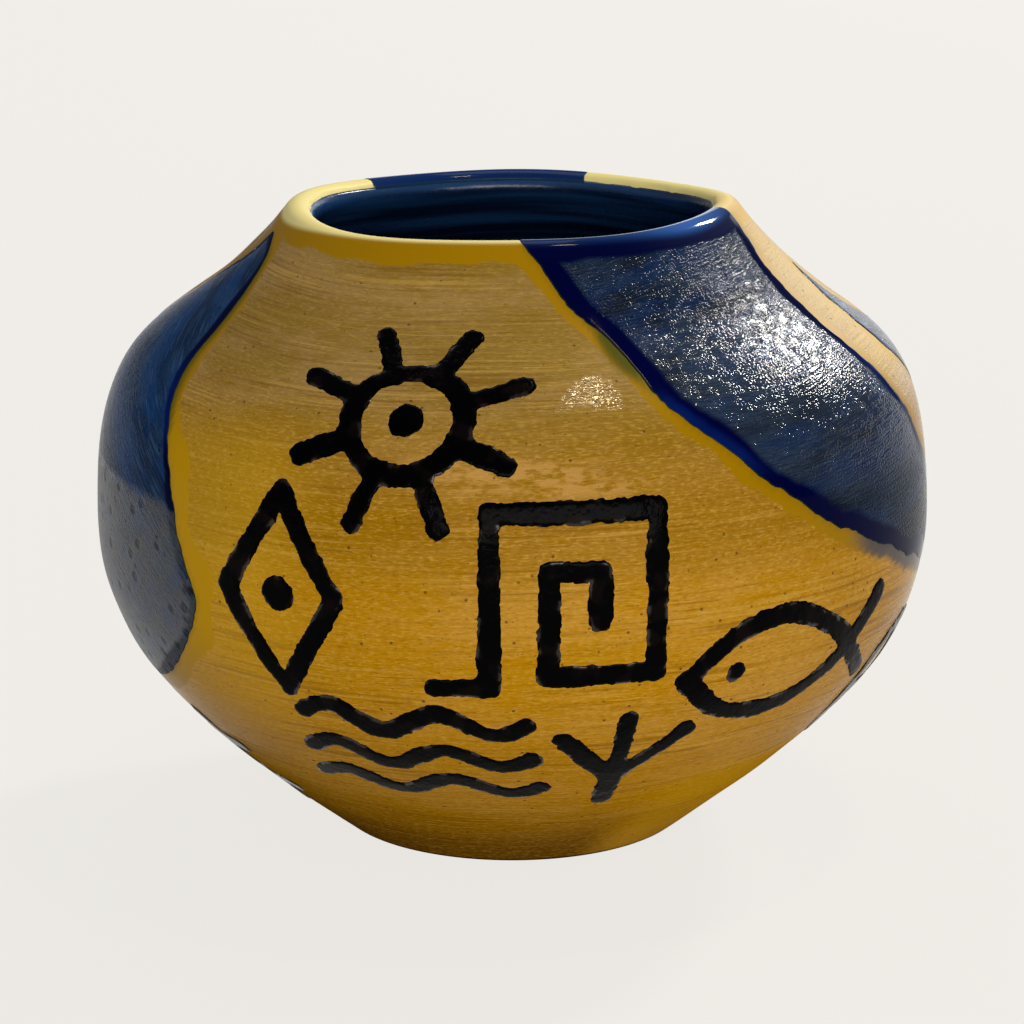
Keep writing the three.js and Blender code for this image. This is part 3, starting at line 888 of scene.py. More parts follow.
@dataclass(frozen=True)
class BlueGlaze(Finish):
    """Cobalt glaze: dark and smooth along its edges, paler on the lip by painted reflection, brushed and
    broken inside.

    It is green where it is thinnest, has a painted highlight of lighter cobalt along part of its rim, and low
    down it is pitted and greyed by painted reflection.
    """

    name: str = "blue_glaze_finish"
    slot: Slot = Slot.BLUE
    specular: float = 0.34
    bead_specular: float = 0.02
    ridge: float = 0.11
    sparkle: float = 0.22
    pit_depth: float = 0.16
    brushed: float = 0.3
    broad: Patches = (40.0, 160.0, 3.0)
    fine: Patches = (150.0, 2900.0, 1.0)
    grain: Patches = (2000.0, 2700.0, 1.0)
    cloud: Patches = (50.0, 90.0, 3.0)
    patch: Patches = (420.0, 600.0, 2.0)
    runs: Patches = (300.0, 90.0, 4.0)
    holes: Specks = (330.0, 0.14, 0.6)
    wide_holes: Specks = (300.0, 0.36, 0.8)
    navy: Colour = (0, 3, 50)
    cobalt: Colour = (6, 32, 72)
    slate: Colour = (12, 22, 38)
    ash: Colour = (58, 78, 100)
    # rim is the colour of the painted highlight along the rim.
    rim: Colour = (10, 38, 116)
    green: Colour = (34, 46, 18)
    # grey is the colour of the painted reflection of the floor.
    grey: Colour = (84, 82, 78)
    # sky is the colour of the painted sky reflection on the lip.
    sky: Colour = (44, 96, 174)
    pit: Colour = (4, 10, 26)

    def paint(self, bench: Bench) -> Look:
        """Brushed and broken streaks over slate, grey of painted reflection low down, and navy where the
        glaze is deep.

        Args:
            bench: What makes the nodes.

        Returns:
            What the shader takes.
        """
        painted_reflection_zone = bench.value_of("painted_reflection_zone")
        smooth = bench.value_of("pool").ramp(0.1, 0.8)
        rough_skin = 1.0 - smooth
        fine, grain, cloud = (bench.noise(size) for size in (self.fine, self.grain, self.cloud))
        dry = fine.ramp(0.4, 0.62, 1.0, 0.1) * cloud.ramp(0.42, 0.62, 0.6, 0.08)
        holes = (bench.specks(self.holes) | bench.specks(self.wide_holes) * painted_reflection_zone) * rough_skin
        colour = bench.layered(
            bench.blend(bench.noise(self.broad).ramp(0.42, 0.6), self.slate, self.cobalt),
            (dry, self.ash),
            # Painted reflection: grey runs low on a tongue, where the glaze would mirror the floor.
            (painted_reflection_zone * bench.noise(self.runs).ramp(0.36, 0.6, 0.85, 0.5), self.grey),
            (grain.ramp(0.46, 0.32, 0.5), self.pit),
            (fine.ramp(0.54, 0.66, 0.4), self.pit),
            (holes * 0.85, self.pit),
            (fine.ramp(0.46, 0.34, self.brushed), self.ash),
            (smooth, self.navy),
            # Painted highlight: lighter cobalt along the part of the rim that the light falls on.
            (bench.value_of("rim") * cloud.ramp(0.42, 0.6, 0.55, 0.2), self.rim),
            (bench.value_of("depth").ramp(0.42, 0.12, 0.9), self.green),
            # Painted reflection: the sky's pale blue on the lip, more towards the sun's bearing.
            (bench.value_of("crest"), self.sky),
        )
        pebbles = (grain - 0.5) * bench.noise(self.patch).ramp(0.36, 0.6, 1.0, 0.25)
        normal = bench.bumped(
            ((fine - 0.5) * rough_skin, self.ridge),
            (pebbles * rough_skin, self.sparkle),
            (holes * -1.0, self.pit_depth),
        )
        rough = smooth.ramp(0.0, 1.0, 0.08, 0.14) + painted_reflection_zone * 0.2
        specular = bench.value_of("shine").ramp(0.0, 1.0, self.specular) | self.bead_specular
        return Look(colour, rough, normal, specular)


@dataclass(frozen=True)
class LiningGlaze(Finish):
    """Dark navy glaze on the inside, with soft wheel rings."""

    name: str = "lining_glaze_finish"
    slot: Slot = Slot.LINING
    specular: float = 0.35
    depth: float = 0.2
    rings: Patches = (12.0, 240.0, 2.0)
    grain: Patches = (500.0, 900.0, 2.0)
    navy: Colour = (26, 64, 108)
    black: Colour = (8, 24, 50)

    def paint(self, bench: Bench) -> Look:
        """Rings of darker glaze round the wall.

        Args:
            bench: What makes the nodes.

        Returns:
            What the shader takes.
        """
        rings, grain = bench.noise(self.rings), bench.noise(self.grain)
        colour = bench.blend(rings.ramp(0.4, 0.62), self.navy, self.black)
        normal = bench.bumped((rings + grain * 0.15, self.depth))
        return Look(colour, grain.ramp(0.3, 0.7, 0.32, 0.18), normal, self.specular)


@dataclass(frozen=True)
class BlackPaint(Finish):
    """Glossy black glaze paint from a loaded brush, thin and brown where the brush ran dry."""

    name: str = "black_paint_finish"
    slot: Slot = Slot.BLACK
    specular: float = 0.02
    depth: float = 0.07
    patch: Patches = (260.0, 260.0, 2.0)
    grain: Patches = (1400.0, 1400.0, 2.0)
    black: Colour = (2, 2, 3)
    thin: Colour = (44, 32, 24)

    def paint(self, bench: Bench) -> Look:
        """Black with thin brown patches along the stroke's edge, a fine grain and small pits.

        Args:
            bench: What makes the nodes.

        Returns:
            What the shader takes.
        """
        patch, grain, inset = bench.noise(self.patch), bench.noise(self.grain), bench.value_of("inset")
        dry = patch.ramp(0.5, 0.68) * inset.ramp(0.9, 0.1, 0.8, 0.15)
        wet = inset.ramp(0.7, 0.3) * patch.ramp(0.56, 0.6, 0.3)
        normal = bench.bumped((grain + patch, self.depth))
        colour = bench.blend(dry, self.black, self.thin)
        return Look(colour, grain.ramp(0.3, 0.7, 0.22, 0.12), normal, wet + self.specular)


@dataclass(frozen=True)
class FiredClay(Finish):
    """Bare fired earthenware: buff, sandy and matt, with darker grit and turning marks."""

    name: str = "fired_clay_finish"
    slot: Slot = Slot.CLAY
    specular: float = 0.2
    depth: float = 0.12
    cloud: Patches = (60.0, 60.0, 3.0)
    sand: Patches = (1600.0, 1600.0, 2.0)
    rings: Patches = (10.0, 600.0, 1.0)
    grit: Specks = (420.0, 0.2, 0.35)
    buff: Colour = (186, 142, 102)
    toasted: Colour = (150, 102, 66)
    dark: Colour = (92, 62, 42)

    def paint(self, bench: Bench) -> Look:
        """Sandy clay with rings from the wheel and sparse grit.

        Args:
            bench: What makes the nodes.

        Returns:
            What the shader takes.
        """
        sand = bench.noise(self.sand)
        clay = bench.blend(bench.noise(self.cloud).ramp(0.35, 0.65), self.buff, self.toasted)
        colour = bench.layered(clay, (bench.specks(self.grit) * 0.8, self.dark))
        normal = bench.bumped((sand + bench.noise(self.rings), self.depth))
        return Look(colour, sand.ramp(0.3, 0.7, 0.95, 0.8), normal, self.specular)


@dataclass
class Tongue:
    """One poured tongue of blue glaze between two uneven edges.

    An edge is a list of bearings and distances from the low tip to the top. A tongue that starts on the
    lip runs over it between the bearings at its top. Its shine is given at its foot and at its top.
    """

    name: str
    node: str
    left: list[Point]
    right: list[Point]
    seed: int
    over_lip: bool = False
    slant: float = 0.0
    lip_turns: Point = (0.0, 0.0)
    shine: Point = (0.4, 1.0)
    shine_rise: Span = (78.0, 96.0)
    deep_zone: Span = (1.2, 4.6)
    # Below this distance the tongue is greyed by painted reflection of the floor.
    painted_reflection_top: float = 0.0
    rows: int = 190
    columns: int = 90
    lip_rows: int = 26
    tip_share: float = 0.012
    ripple: float = 0.38
    shiver: float = 0.14
    drip: float = 0.3
    calm_tip: Span = (0.5, 7.0)
    reach: float = 12.0
    least_radius: float = 30.0
    part_length: int = 40
    outline: tuple[np.ndarray, np.ndarray] = field(init=False)

    def trace(self, skin: Skin) -> None:
        """Draws both edges on the skin, with the ripples of a poured glaze.

        Args:
            skin: The skin the tongue lies on.
        """
        turn = np.linspace(0.0, np.pi, self.rows)
        even = 1.0 - np.cos(turn / 2.0) if self.over_lip else (1.0 - np.cos(turn)) / 2.0
        top_share = 1.0 if self.over_lip else 1.0 - self.tip_share
        shares = self.tip_share + (top_share - self.tip_share) * even
        edges = []
        for side, points in enumerate((self.left, self.right)):
            edge = spline(points, shares)
            if self.over_lip:
                bearing, start = edge[-1]
                over = np.linspace(start, skin.glaze_end, self.lip_rows + 1)[1:]
                turned = 2.0 * smooth_step(over, 2.0 * start - skin.crest, skin.crest) - 1.0
                edge = np.vstack([edge, np.stack([bearing + self.lip_turns[side] * turned, over], axis=-1)])
            edges.append(self._rippled(edge, skin, SoftNoise(self.seed + side), 1 - 2 * side))
            if self.over_lip:
                edges[-1][-1, 1] = skin.glaze_end
        self.outline = (edges[0], edges[1])

    def _rippled(self, edge: np.ndarray, skin: Skin, noise: SoftNoise, outwards: int) -> np.ndarray:
        """An edge moved to and fro by soft noise, and out in small rounded drips, less near the tips.

        Args:
            edge: Bearings and distances.
            skin: The skin it lies on.
            noise: Where the ripples come from.
            outwards: 1 if the tongue lies to the right of the edge, -1 if it lies to the left.

        Returns:
            The moved edge.
        """
        radius = skin.radius(edge[:, 1])
        flat = np.stack([np.radians(edge[:, 0]) * radius, edge[:, 1]], axis=-1)
        aside, along = left_of(flat), lengths_along(flat)
        drips = outwards * self.drip * (2.0 * np.abs(noise.at(along, 18.0, 1.7)) - 0.6)
        move = self.ripple * noise.at(along, 0.0, 4.4) + self.shiver * noise.at(along, 9.0, 1.2) + drips
        move *= smooth_step(along, *self.calm_tip)
        if not self.over_lip:
            move *= smooth_step(along[-1] - along, *self.calm_tip)
        return edge + np.stack([np.degrees(aside[:, 0] * move / radius), aside[:, 1] * move], axis=-1)

    def depth(self, skin: Skin, bearing: np.ndarray, distance: np.ndarray) -> np.ndarray:
        """How deep places lie within the tongue: the distance to its nearest edge, negative off it.

        A place is within it if a line from there to the right crosses the outline an odd number of times.

        Args:
            skin: The skin the tongue lies on.
            bearing: Bearings of the places.
            distance: Distances of the places.

        Returns:
            The depths in millimetres, no less than minus the reach.
        """
        loop = np.vstack([self.outline[0], self.outline[1][::-1]])
        following = np.roll(loop, -1, axis=0)
        (first_bearing, first_distance), (last_bearing, _) = loop.min(axis=0), loop.max(axis=0)
        middle = (first_bearing + last_bearing) / 2.0
        turned = (bearing - middle + 180.0) % 360.0 - 180.0 + middle
        spread = np.degrees(self.reach / self.least_radius)
        near = (turned > first_bearing - spread) & (turned < last_bearing + spread)
        near &= distance > first_distance - self.reach
        across, up, degree = (
            grid[near][:, None] for grid in (turned, distance, np.radians(skin.radius(distance)))
        )
        nearest = np.full(len(across), np.inf)
        crossings = np.zeros(len(across), dtype=int)
        for part in np.array_split(np.arange(len(loop)), len(loop) // self.part_length):
            (x, y), (next_x, next_y) = loop[part].T, following[part].T
            away = ((across - x) * degree) ** 2 + (up - y) ** 2
            if self.over_lip:
                away = np.where(y > skin.glaze_end - 0.01, np.inf, away)
            nearest = np.minimum(nearest, away.min(axis=1))
            share = (up - y) / np.where(next_y == y, TINY, next_y - y)
            straddles = (y > up) != (next_y > up)
            crossings += (straddles & (across < x + share * (next_x - x))).sum(axis=1)
        signed = np.minimum(np.sqrt(nearest), self.reach)
        result = np.full(turned.shape, -self.reach)
        result[near] = np.where(crossings % 2 == 1, signed, -signed)
        return result


WINDOW_DEPTH = 0.42
WINDOW_SLOPE = (0.35, 2.2)
TUCK = 0.05


def window_floor(depth: np.ndarray) -> np.ndarray:
    """How far the ground glaze sinks under the blue: nothing at the tongue's edge, all of it further in."""
    return -WINDOW_DEPTH * smooth_step(depth, *WINDOW_SLOPE)


@dataclass
class BlueTongues:
    """The four tongues of blue glaze, poured from the lip and the shoulder.

    The lip's zone is given by distances from the neck, and the others by distances along the skin.
    """

    skin: Skin
    bead: float = 0.11
    bead_width: float = 0.7
    film: float = 0.11
    film_start: float = 4.4
    lip_film: float = 0.1
    lip_zone: Span = (-3.4, -1.2)
    end_taper: float = 1.2
    least_thickness: float = 0.05
    mean_radius: float = 60.0
    sun_bearing: float = -38.0
    sun_spread: float = 16.0
    dimmed: float = 0.72
    dim_zone: Span = (112.0, 121.5)
    # The painted highlight along the rim lies between these distances and near the edge.
    rim_rise: Span = (88.0, 94.0)
    rim_fall: Span = (102.0, 109.0)
    rim_width: Span = (0.8, 2.6)
    tongues: list[Tongue] = field(default_factory=list)

    def __post_init__(self) -> None:
        """Sets out the tongues and traces their edges."""
        join = self.skin.neck - 3.0
        self.tongues = [
            Tongue(
                "blue_tongue_front_right", "blue_glaze_front_right",
                [(6, 64), (-4, 63.5), (-15, 66), (-30, 72.5), (-47, 82), (-60, 94), (-68, 104), (-72.5, 116),
                 (-79, 124), (-84, join)],
                [(6, 64), (10, 69), (3, 76), (-9, 81), (-16, 90), (-21.5, 100), (-23.5, 110), (-22.5, 121),
                 (-18.5, join)],
                21, True, slant=5.0, lip_turns=(-4.0, 0.0), shine=(0.14, 1.0), shine_rise=(80.0, 98.0),
                deep_zone=(1.3, 4.2), rows=260, columns=110,
            ),
            Tongue(
                "blue_tongue_left", "blue_glaze_left",
                [(-158, 46), (-168, 49), (-179, 60), (-187, 75), (-190, 92), (-186, 107), (-180, 118),
                 (-174, 126), (-170.5, 131)],
                [(-158, 46), (-149, 50), (-140, 58), (-135, 67), (-138, 76), (-143, 90), (-149, 104),
                 (-154, 117), (-161, 127), (-169, 131)],
                31, slant=-38.0, shine=(0.5, 0.0), shine_rise=(80.0, 84.0), deep_zone=(0.9, 2.5),
                painted_reflection_top=82.0, rows=240, columns=80,
            ),
            Tongue(
                "blue_tongue_right_shoulder", "blue_glaze_right_shoulder",
                [(30, 56), (22, 60), (16, 72), (9, 84), (-1, 93), (-8, 100), (-10, 109), (-7, 118),
                 (-3.5, 121.5)],
                [(30, 56), (39, 60), (42, 72), (37, 83), (25, 92), (11, 101), (0, 108), (-3, 116),
                 (-3, 121.5)],
                41, slant=-15.0, shine=(0.25, 0.9), deep_zone=(0.8, 3.0), rows=200, columns=70,
            ),
            Tongue(
                "blue_tongue_back", "blue_glaze_back",
                [(124, 54), (115, 57), (108, 67), (103, 80), (98, 94), (90, 107), (78, 119), (68, join)],
                [(124, 54), (134, 58), (140, 69), (139, 83), (133, 98), (131, 113), (135, join)],
                51, True, slant=10.0, shine=(0.25, 0.8), rows=220, columns=100,
            ),
        ]
        for tongue in self.tongues:
            tongue.trace(self.skin)

    def depth(self, bearing: np.ndarray, distance: np.ndarray) -> np.ndarray:
        """The greatest depth within any tongue, negative off them all."""
        return np.max([tongue.depth(self.skin, bearing, distance) for tongue in self.tongues], axis=0)

    def face_height(self, depth: np.ndarray) -> np.ndarray:
        """The height of the blue's face: a quarter round up to the bead, then a slope down to the film."""
        sunk = (self.bead - self.film) * smooth_step(depth, self.bead_width, self.film_start)
        return (self.bead + TUCK) * quarter_round(depth, self.bead_width) - sunk - TUCK

    def build(self, finishes: dict[str, Finish]) -> list[Piece]:
        """Makes the tongues, each with the finish of its name."""
        return [self._tongue(tongue, finishes[tongue.name]) for tongue in self.tongues]

    def _tongue(self, tongue: Tongue, finish: Finish) -> Piece:
        """Makes one tongue: a grid from its left edge to its right edge, finer near both.

        Args:
            tongue: Where it lies.
            finish: Its finish.

        Returns:
            The piece.
        """
        across = (1.0 - np.cos(np.linspace(0.0, np.pi, tongue.columns))[None, :, None]) / 2.0
        left, right = (edge[:, None, :] for edge in tongue.outline)
        grid = left * (1.0 - across) + right * across
        bearing, distance = grid[..., 0], grid[..., 1]
        depth = np.maximum(tongue.depth(self.skin, bearing, distance), 0.0)
        depth[:, [0, -1]] = 0.0
        depth[0] = 0.0
        if tongue.over_lip:
            taper = (self.skin.glaze_end - distance) * self.bead_width / self.end_taper
            depth = np.where(taper > self.bead_width, depth, np.minimum(depth, np.maximum(taper, 0.0)))
        else:
            depth[-1] = 0.0
        wavy = distance + 0.6 * SoftNoise(tongue.seed + 7).at(bearing, distance, 6.0, 9.0)
        lip = smooth_step(wavy - self.skin.neck, *self.lip_zone)
        face = self.face_height(depth)
        face = np.minimum(face, self.lip_film) * lip + face * (1.0 - lip)
        back = np.minimum(window_floor(depth) - 0.02, face - self.least_thickness)
        points, under = (self.skin.place(bearing, distance, height) for height in (face, back))
        kept = np.ones((grid.shape[0] - 1, grid.shape[1] - 1), dtype=bool)
        values = self._values(tongue, bearing, distance, depth, lip)
        return closed_patch(points, under, kept, values).publish(tongue.name, finish, [tongue.node])

    def _values(
        self, tongue: Tongue, bearing: np.ndarray, distance: np.ndarray, depth: np.ndarray, lip: np.ndarray
    ) -> Values:
        """What a tongue's finish reads: its streaks lean with the tongue, and its shine grows upwards.

        Args:
            tongue: The tongue.
            bearing: Bearings of its points.
            distance: Distances of its points.
            depth: How deep they lie within it.
            lip: How far each belongs to the lip, from 0 to 1.

        Returns:
            The values by name.
        """
        round_way, lean = np.radians(bearing) * self.mean_radius, np.radians(tongue.slant)

        def noise(shift: int, pitch: float) -> np.ndarray:
            """Soft noise of the tongue's own."""
            return SoftNoise(tongue.seed + shift).at(round_way, distance, pitch)

        along = round_way * np.cos(lean) + distance * np.sin(lean)
        up = distance * np.cos(lean) - round_way * np.sin(lean) + 1.3 * noise(6, 26.0)
        pool = np.maximum(1.0 - smooth_step(depth + 0.9 * noise(5, 9.0), *tongue.deep_zone), lip)
        # Below its top the tongue is greyed by painted reflection of the floor, with wider pits.
        painted_reflection_zone = 1.0 - smooth_step(distance - tongue.painted_reflection_top - 0.8 * noise(8, 3.0), -0.8, 0.4)
        sunny = bell(bearing, self.sun_bearing, self.sun_spread)
        crest = smooth_step(distance + 0.9 * sunny, self.skin.neck - 0.2, self.skin.crest - 0.4)
        low, high = tongue.shine
        shine = (1.0 - pool) * (low + (high - low) * smooth_step(distance, *tongue.shine_rise))
        shine = shine * (1.0 - self.dimmed * smooth_step(distance, *self.dim_zone))
        return {
            "wall": np.stack([along, np.zeros_like(along), up], axis=-1) * MM,
            "pool": pool * (1.0 - 0.8 * painted_reflection_zone),
            # Painted sky reflection on the lip, strongest towards the sun's bearing.
            "crest": (0.2 + 0.8 * sunny) * crest,
            "shine": np.maximum(shine, (0.25 + 0.65 * sunny) * lip),
            "painted_reflection_zone": painted_reflection_zone,
            "depth": depth,
            # Painted highlight along the rim.
            "rim": hump(distance, self.rim_rise, self.rim_fall) * (1.0 - smooth_step(depth, *self.rim_width)),
        }


@dataclass
class PotAndLining:
    """The clay body, and the glaze that lines it."""

    skin: Skin
    under_glaze: float = 0.9
    lining: float = 0.6
    lining_start: float = 0.4
    lining_edge: float = 0.12
    lining_taper: float = 1.2
    fine_run: float = 6.0
    foot_rings: tuple[float, ...] = (0.0, 0.3, 0.6, 0.85, 1.0)
    columns: int = 240

    def build_clay(self, finish: Finish) -> Piece:
        """Makes the clay: flat under the foot, up the outside below the glazes, and down the inside.

        Args:
            finish: The finish of the bare clay.

        Returns:
            The piece.
        """
        skin, bearing = self.skin, all_round(self.columns)
        outside = np.linspace(0.0, skin.crest, 90)
        inside = np.linspace(skin.crest, skin.along[-1], 110)[1:]
        rows = np.concatenate([outside, inside])[:, None]
        wall = skin.place(bearing, rows, -self.under_glaze)
        wall[-1, :, :2] = 0.0
        radius, rise = skin.section(0.0, -self.under_glaze)
        foot = float(radius - rise / np.tan(np.radians(skin.foot_flare)))
        flat_radii = foot * np.array(self.foot_rings)[:, None]
        angle = np.radians(bearing)
        across, along = flat_radii * np.cos(angle), flat_radii * np.sin(angle)
        flat = np.stack([across, along, np.zeros_like(across)], axis=-1)
        values = skin.wall_values(bearing, np.concatenate([flat_radii - foot, rows]))
        return closed_round(np.concatenate([flat, wall]), values).publish("clay_pot", finish, ["clay_body"])

    def build_lining(self, finish: Finish) -> Piece:
        """Makes the lining: its face from the floor's middle up to the lip, then its back down again.

        Args:
            finish: The finish of the lining.

        Returns:
            The piece.
        """
        skin, bearing = self.skin, all_round(self.columns)
        start = skin.glaze_end - self.lining_start
        near = np.linspace(start, start + self.fine_run, 14)
        down = np.concatenate([near, np.linspace(start + self.fine_run, skin.along[-1], 90)[1:]])
        distance = np.concatenate([down[::-1], down])[:, None]
        face = -self.lining_edge * (1.0 - np.minimum(1.0, (down - start) / self.lining_taper))
        height = np.concatenate([face[::-1], np.full(len(down), -self.lining)])[:, None]
        rings = skin.place(bearing, distance, height)
        rings[[0, -1], :, :2] = 0.0
        values = skin.wall_values(bearing, distance)
        return closed_round(rings, values).publish("navy_lining", finish, ["lining_glaze"])


@dataclass
class YellowGround:
    """The yellow ground: a coat from the foot to inside the lip, sunk where the blue lies.

    A glint lies under the front tongue: an island with a flat base, a rounded top and ragged shores. Painted
    light makes two places lighter and warmer: one on the left and one low on the right. The zones of the lip
    and of its crest are given by distances from the neck, and the other zones by bearings or distances along
    the skin.
    """

    skin: Skin
    blue: BlueTongues
    thickness: float = 0.6
    foot_bare: float = 1.2
    end_drop: float = 0.25
    end_slope: float = 1.4
    swelling: float = 0.02
    columns: int = 480
    pool_width: Span = (1.9, 2.7)
    lip_zone: Span = (-3.2, -1.9)
    # The painted highlight on the crest of the lip lies in this zone, wider at the left end.
    crest_zone: Span = (0.8, 2.0)
    left_end: Point = (-172.0, 26.0)
    left_round: tuple[Span, Span] = ((-165.0, -150.0), (-126.0, -112.0))
    left_rise: tuple[Span, Span] = ((34.0, 66.0), (88.0, 104.0))
    right_round: tuple[Span, Span] = ((-74.0, -54.0), (-30.0, -12.0))
    right_top: Span = (26.0, 40.0)
    runny: tuple[Point, Point] = ((-72.5, 4.0), (113.0, 6.0))
    # glow places the painted sheen on the right shoulder.
    glow: tuple[Point, Span] = ((-8.0, 17.0), (88.0, 102.0))
    painted_sheen_patch: tuple[Point, Point] = ((-88.0, 16.0), (92.6, 4.0))
    wash: tuple[Span, Span] = ((-42.0, -35.0), (-14.0, -8.0))
    wash_top: float = 82.0
    wash_width: Span = (1.8, 2.5)
    glint: Point = (-78.2, 5.2)
    glint_base: float = 103.2
    glint_rise: float = 6.6

    def build(self, finish: Finish) -> Piece:
        """Makes the coat: up its face and over the lip, and down its back again.

        Args:
            finish: Its finish.

        Returns:
            The piece.
        """
        lip, end = self.skin.neck - 2.0, self.skin.glaze_end
        face = np.concatenate([np.linspace(self.foot_bare, lip, 142), np.linspace(lip, end, 25)[1:]])
        back = np.linspace(end, self.foot_bare, 32)[1:-1]
        rows = np.concatenate([face, back])[:, None]
        bearing, distance = np.broadcast_arrays(all_round(self.columns), rows)
        outer = np.arange(len(rows))[:, None] < len(face)
        depth = self.blue.depth(bearing, distance)
        values = self._values(bearing, distance, depth)
        for title in ("pool", "fringe", "shine", "wash"):
            values[title] = values[title] * outer
        wander = 0.5 * SoftNoise(12).at(bearing, 0.0, 5.0)
        ending = 1.0 - smooth_step(end - distance - wander, 0.0, self.end_slope)
        height = window_floor(depth) + self.swelling * values["pool"] * (depth < 0.0) - self.end_drop * ending
        rings = self.skin.place(bearing, distance, np.where(outer, height, -self.thickness))
        return closed_loop(rings, values).publish("yellow_ground", finish, ["yellow_glaze"])

    def _values(self, bearing: np.ndarray, distance: np.ndarray, depth: np.ndarray) -> Values:
        """What the finish reads, each value from 0 to 1 but for those of where a point is.

        Args:
            bearing: Bearings of the points.
            distance: Distances of the points.
            depth: How deep they lie within the blue, negative beside it.

        Returns:
            The values by name.
        """

        def noise(seed: int, pitch: float, pitch_up: float | None = None) -> np.ndarray:
            """Soft noise at the points."""
            return SoftNoise(seed).at(bearing, distance, pitch, pitch_up)

        above = distance - self.skin.neck
        # Painted light: two places, on the left and low on the right, are made lighter and warmer.
        painted_light = hump(bearing, *self.left_round) * hump(distance, *self.left_rise)
        low_right = hump(bearing, *self.right_round) * (1.0 - smooth_step(distance, *self.right_top))
        painted_light = np.maximum(painted_light, low_right)
        wide = 1.0 + painted_light * (0.5 + 0.8 * noise(21, 7.0, 6.0))
        wobble = 0.6 * noise(14, 5.0) + 0.2 * noise(15, 2.5, 1.6)
        deep = 1.0 - smooth_step(wobble - depth, *(side * wide for side in self.pool_width))
        lip_pool = smooth_step(above + 0.8 * noise(18, 5.0, 7.0), *self.lip_zone)
        runny = bell(bearing, *self.runny[0]) * bell(distance, *self.runny[1])
        patches = np.maximum(0.7 * smooth_step(noise(16, 15.0, 14.0), 0.05, 0.6), 1.9 * runny)
        fringe = 1.0 - smooth_step(-depth, 0.1 + 0.5 * patches, 0.7 + 1.9 * patches)
        left_bearing, left_spread = self.left_end
        left_end = bell((bearing - left_bearing + 180.0) % 360.0 - 180.0, 0.0, left_spread)
        aside = (bearing - self.glint[0]) / self.glint[1]
        top = self.glint_base + 0.4 + self.glint_rise * (1.0 - aside * aside)
        island = np.minimum(top - distance, distance - self.glint_base) + 1.1 * noise(19, 1.5, 0.8)
        streaky = 1.6 * noise(20, 7.0, 1.5)
        # Painted sheen: a broken band above the belly at the front, streaky at its edges.
        (patch_bearing, patch_width), (patch_middle, patch_height) = self.painted_sheen_patch
        painted_sheen_patch = smooth_step(patch_height - np.abs(distance - patch_middle) + streaky, 0.0, 3.0)
        painted_sheen_patch *= smooth_step(patch_width - np.abs(bearing - patch_bearing) + 3.0 * streaky, 0.0, 7.0)
        wash = 0.85 * hump(bearing, *self.wash) * (distance < self.wash_top)
        return {
            **self.skin.wall_values(bearing, distance),
            "pool": np.maximum(deep, lip_pool),
            "fringe": fringe * (0.25 + 0.65 * np.minimum(patches, 1.0)),
            # Painted highlight on the crest of the lip, wider at the left end.
            "crest": 0.9 * smooth_step(above + 2.2 * left_end, *self.crest_zone),
            "shine": smooth_step(island, 0.0, 0.5) * (np.abs(aside) < 1.4),
            # Painted sheen on the right shoulder.
            "glow": bell(bearing, *self.glow[0]) * smooth_step(distance, *self.glow[1]),
            "painted_sheen_patch": painted_sheen_patch,
            "wash": wash * (1.0 - smooth_step(-depth, *self.wash_width)),
            "painted_light": painted_light,
        }


@dataclass(frozen=True)
class Stroke:
    """One pull of the brush: a line through flat points (right, up), and half its width."""

    points: np.ndarray
    half_width: float

    def inset(self, across: np.ndarray, up: np.ndarray) -> np.ndarray:
        """How far places lie inside the stroke: half its width less the distance to its line.

        Args:
            across: First coordinates of the places.
            up: Second coordinates of the places.

        Returns:
            The insets, negative outside.
        """
        start, run = self.points[:-1], np.diff(self.points, axis=0)
        gap_x, gap_y = across[..., None] - start[:, 0], up[..., None] - start[:, 1]
        share = (gap_x * run[:, 0] + gap_y * run[:, 1]) / np.maximum((run**2).sum(axis=1), TINY)
        share = np.clip(share, 0.0, 1.0)
        away = np.hypot(gap_x - share * run[:, 0], gap_y - share * run[:, 1])
        return self.half_width - away.min(axis=-1)


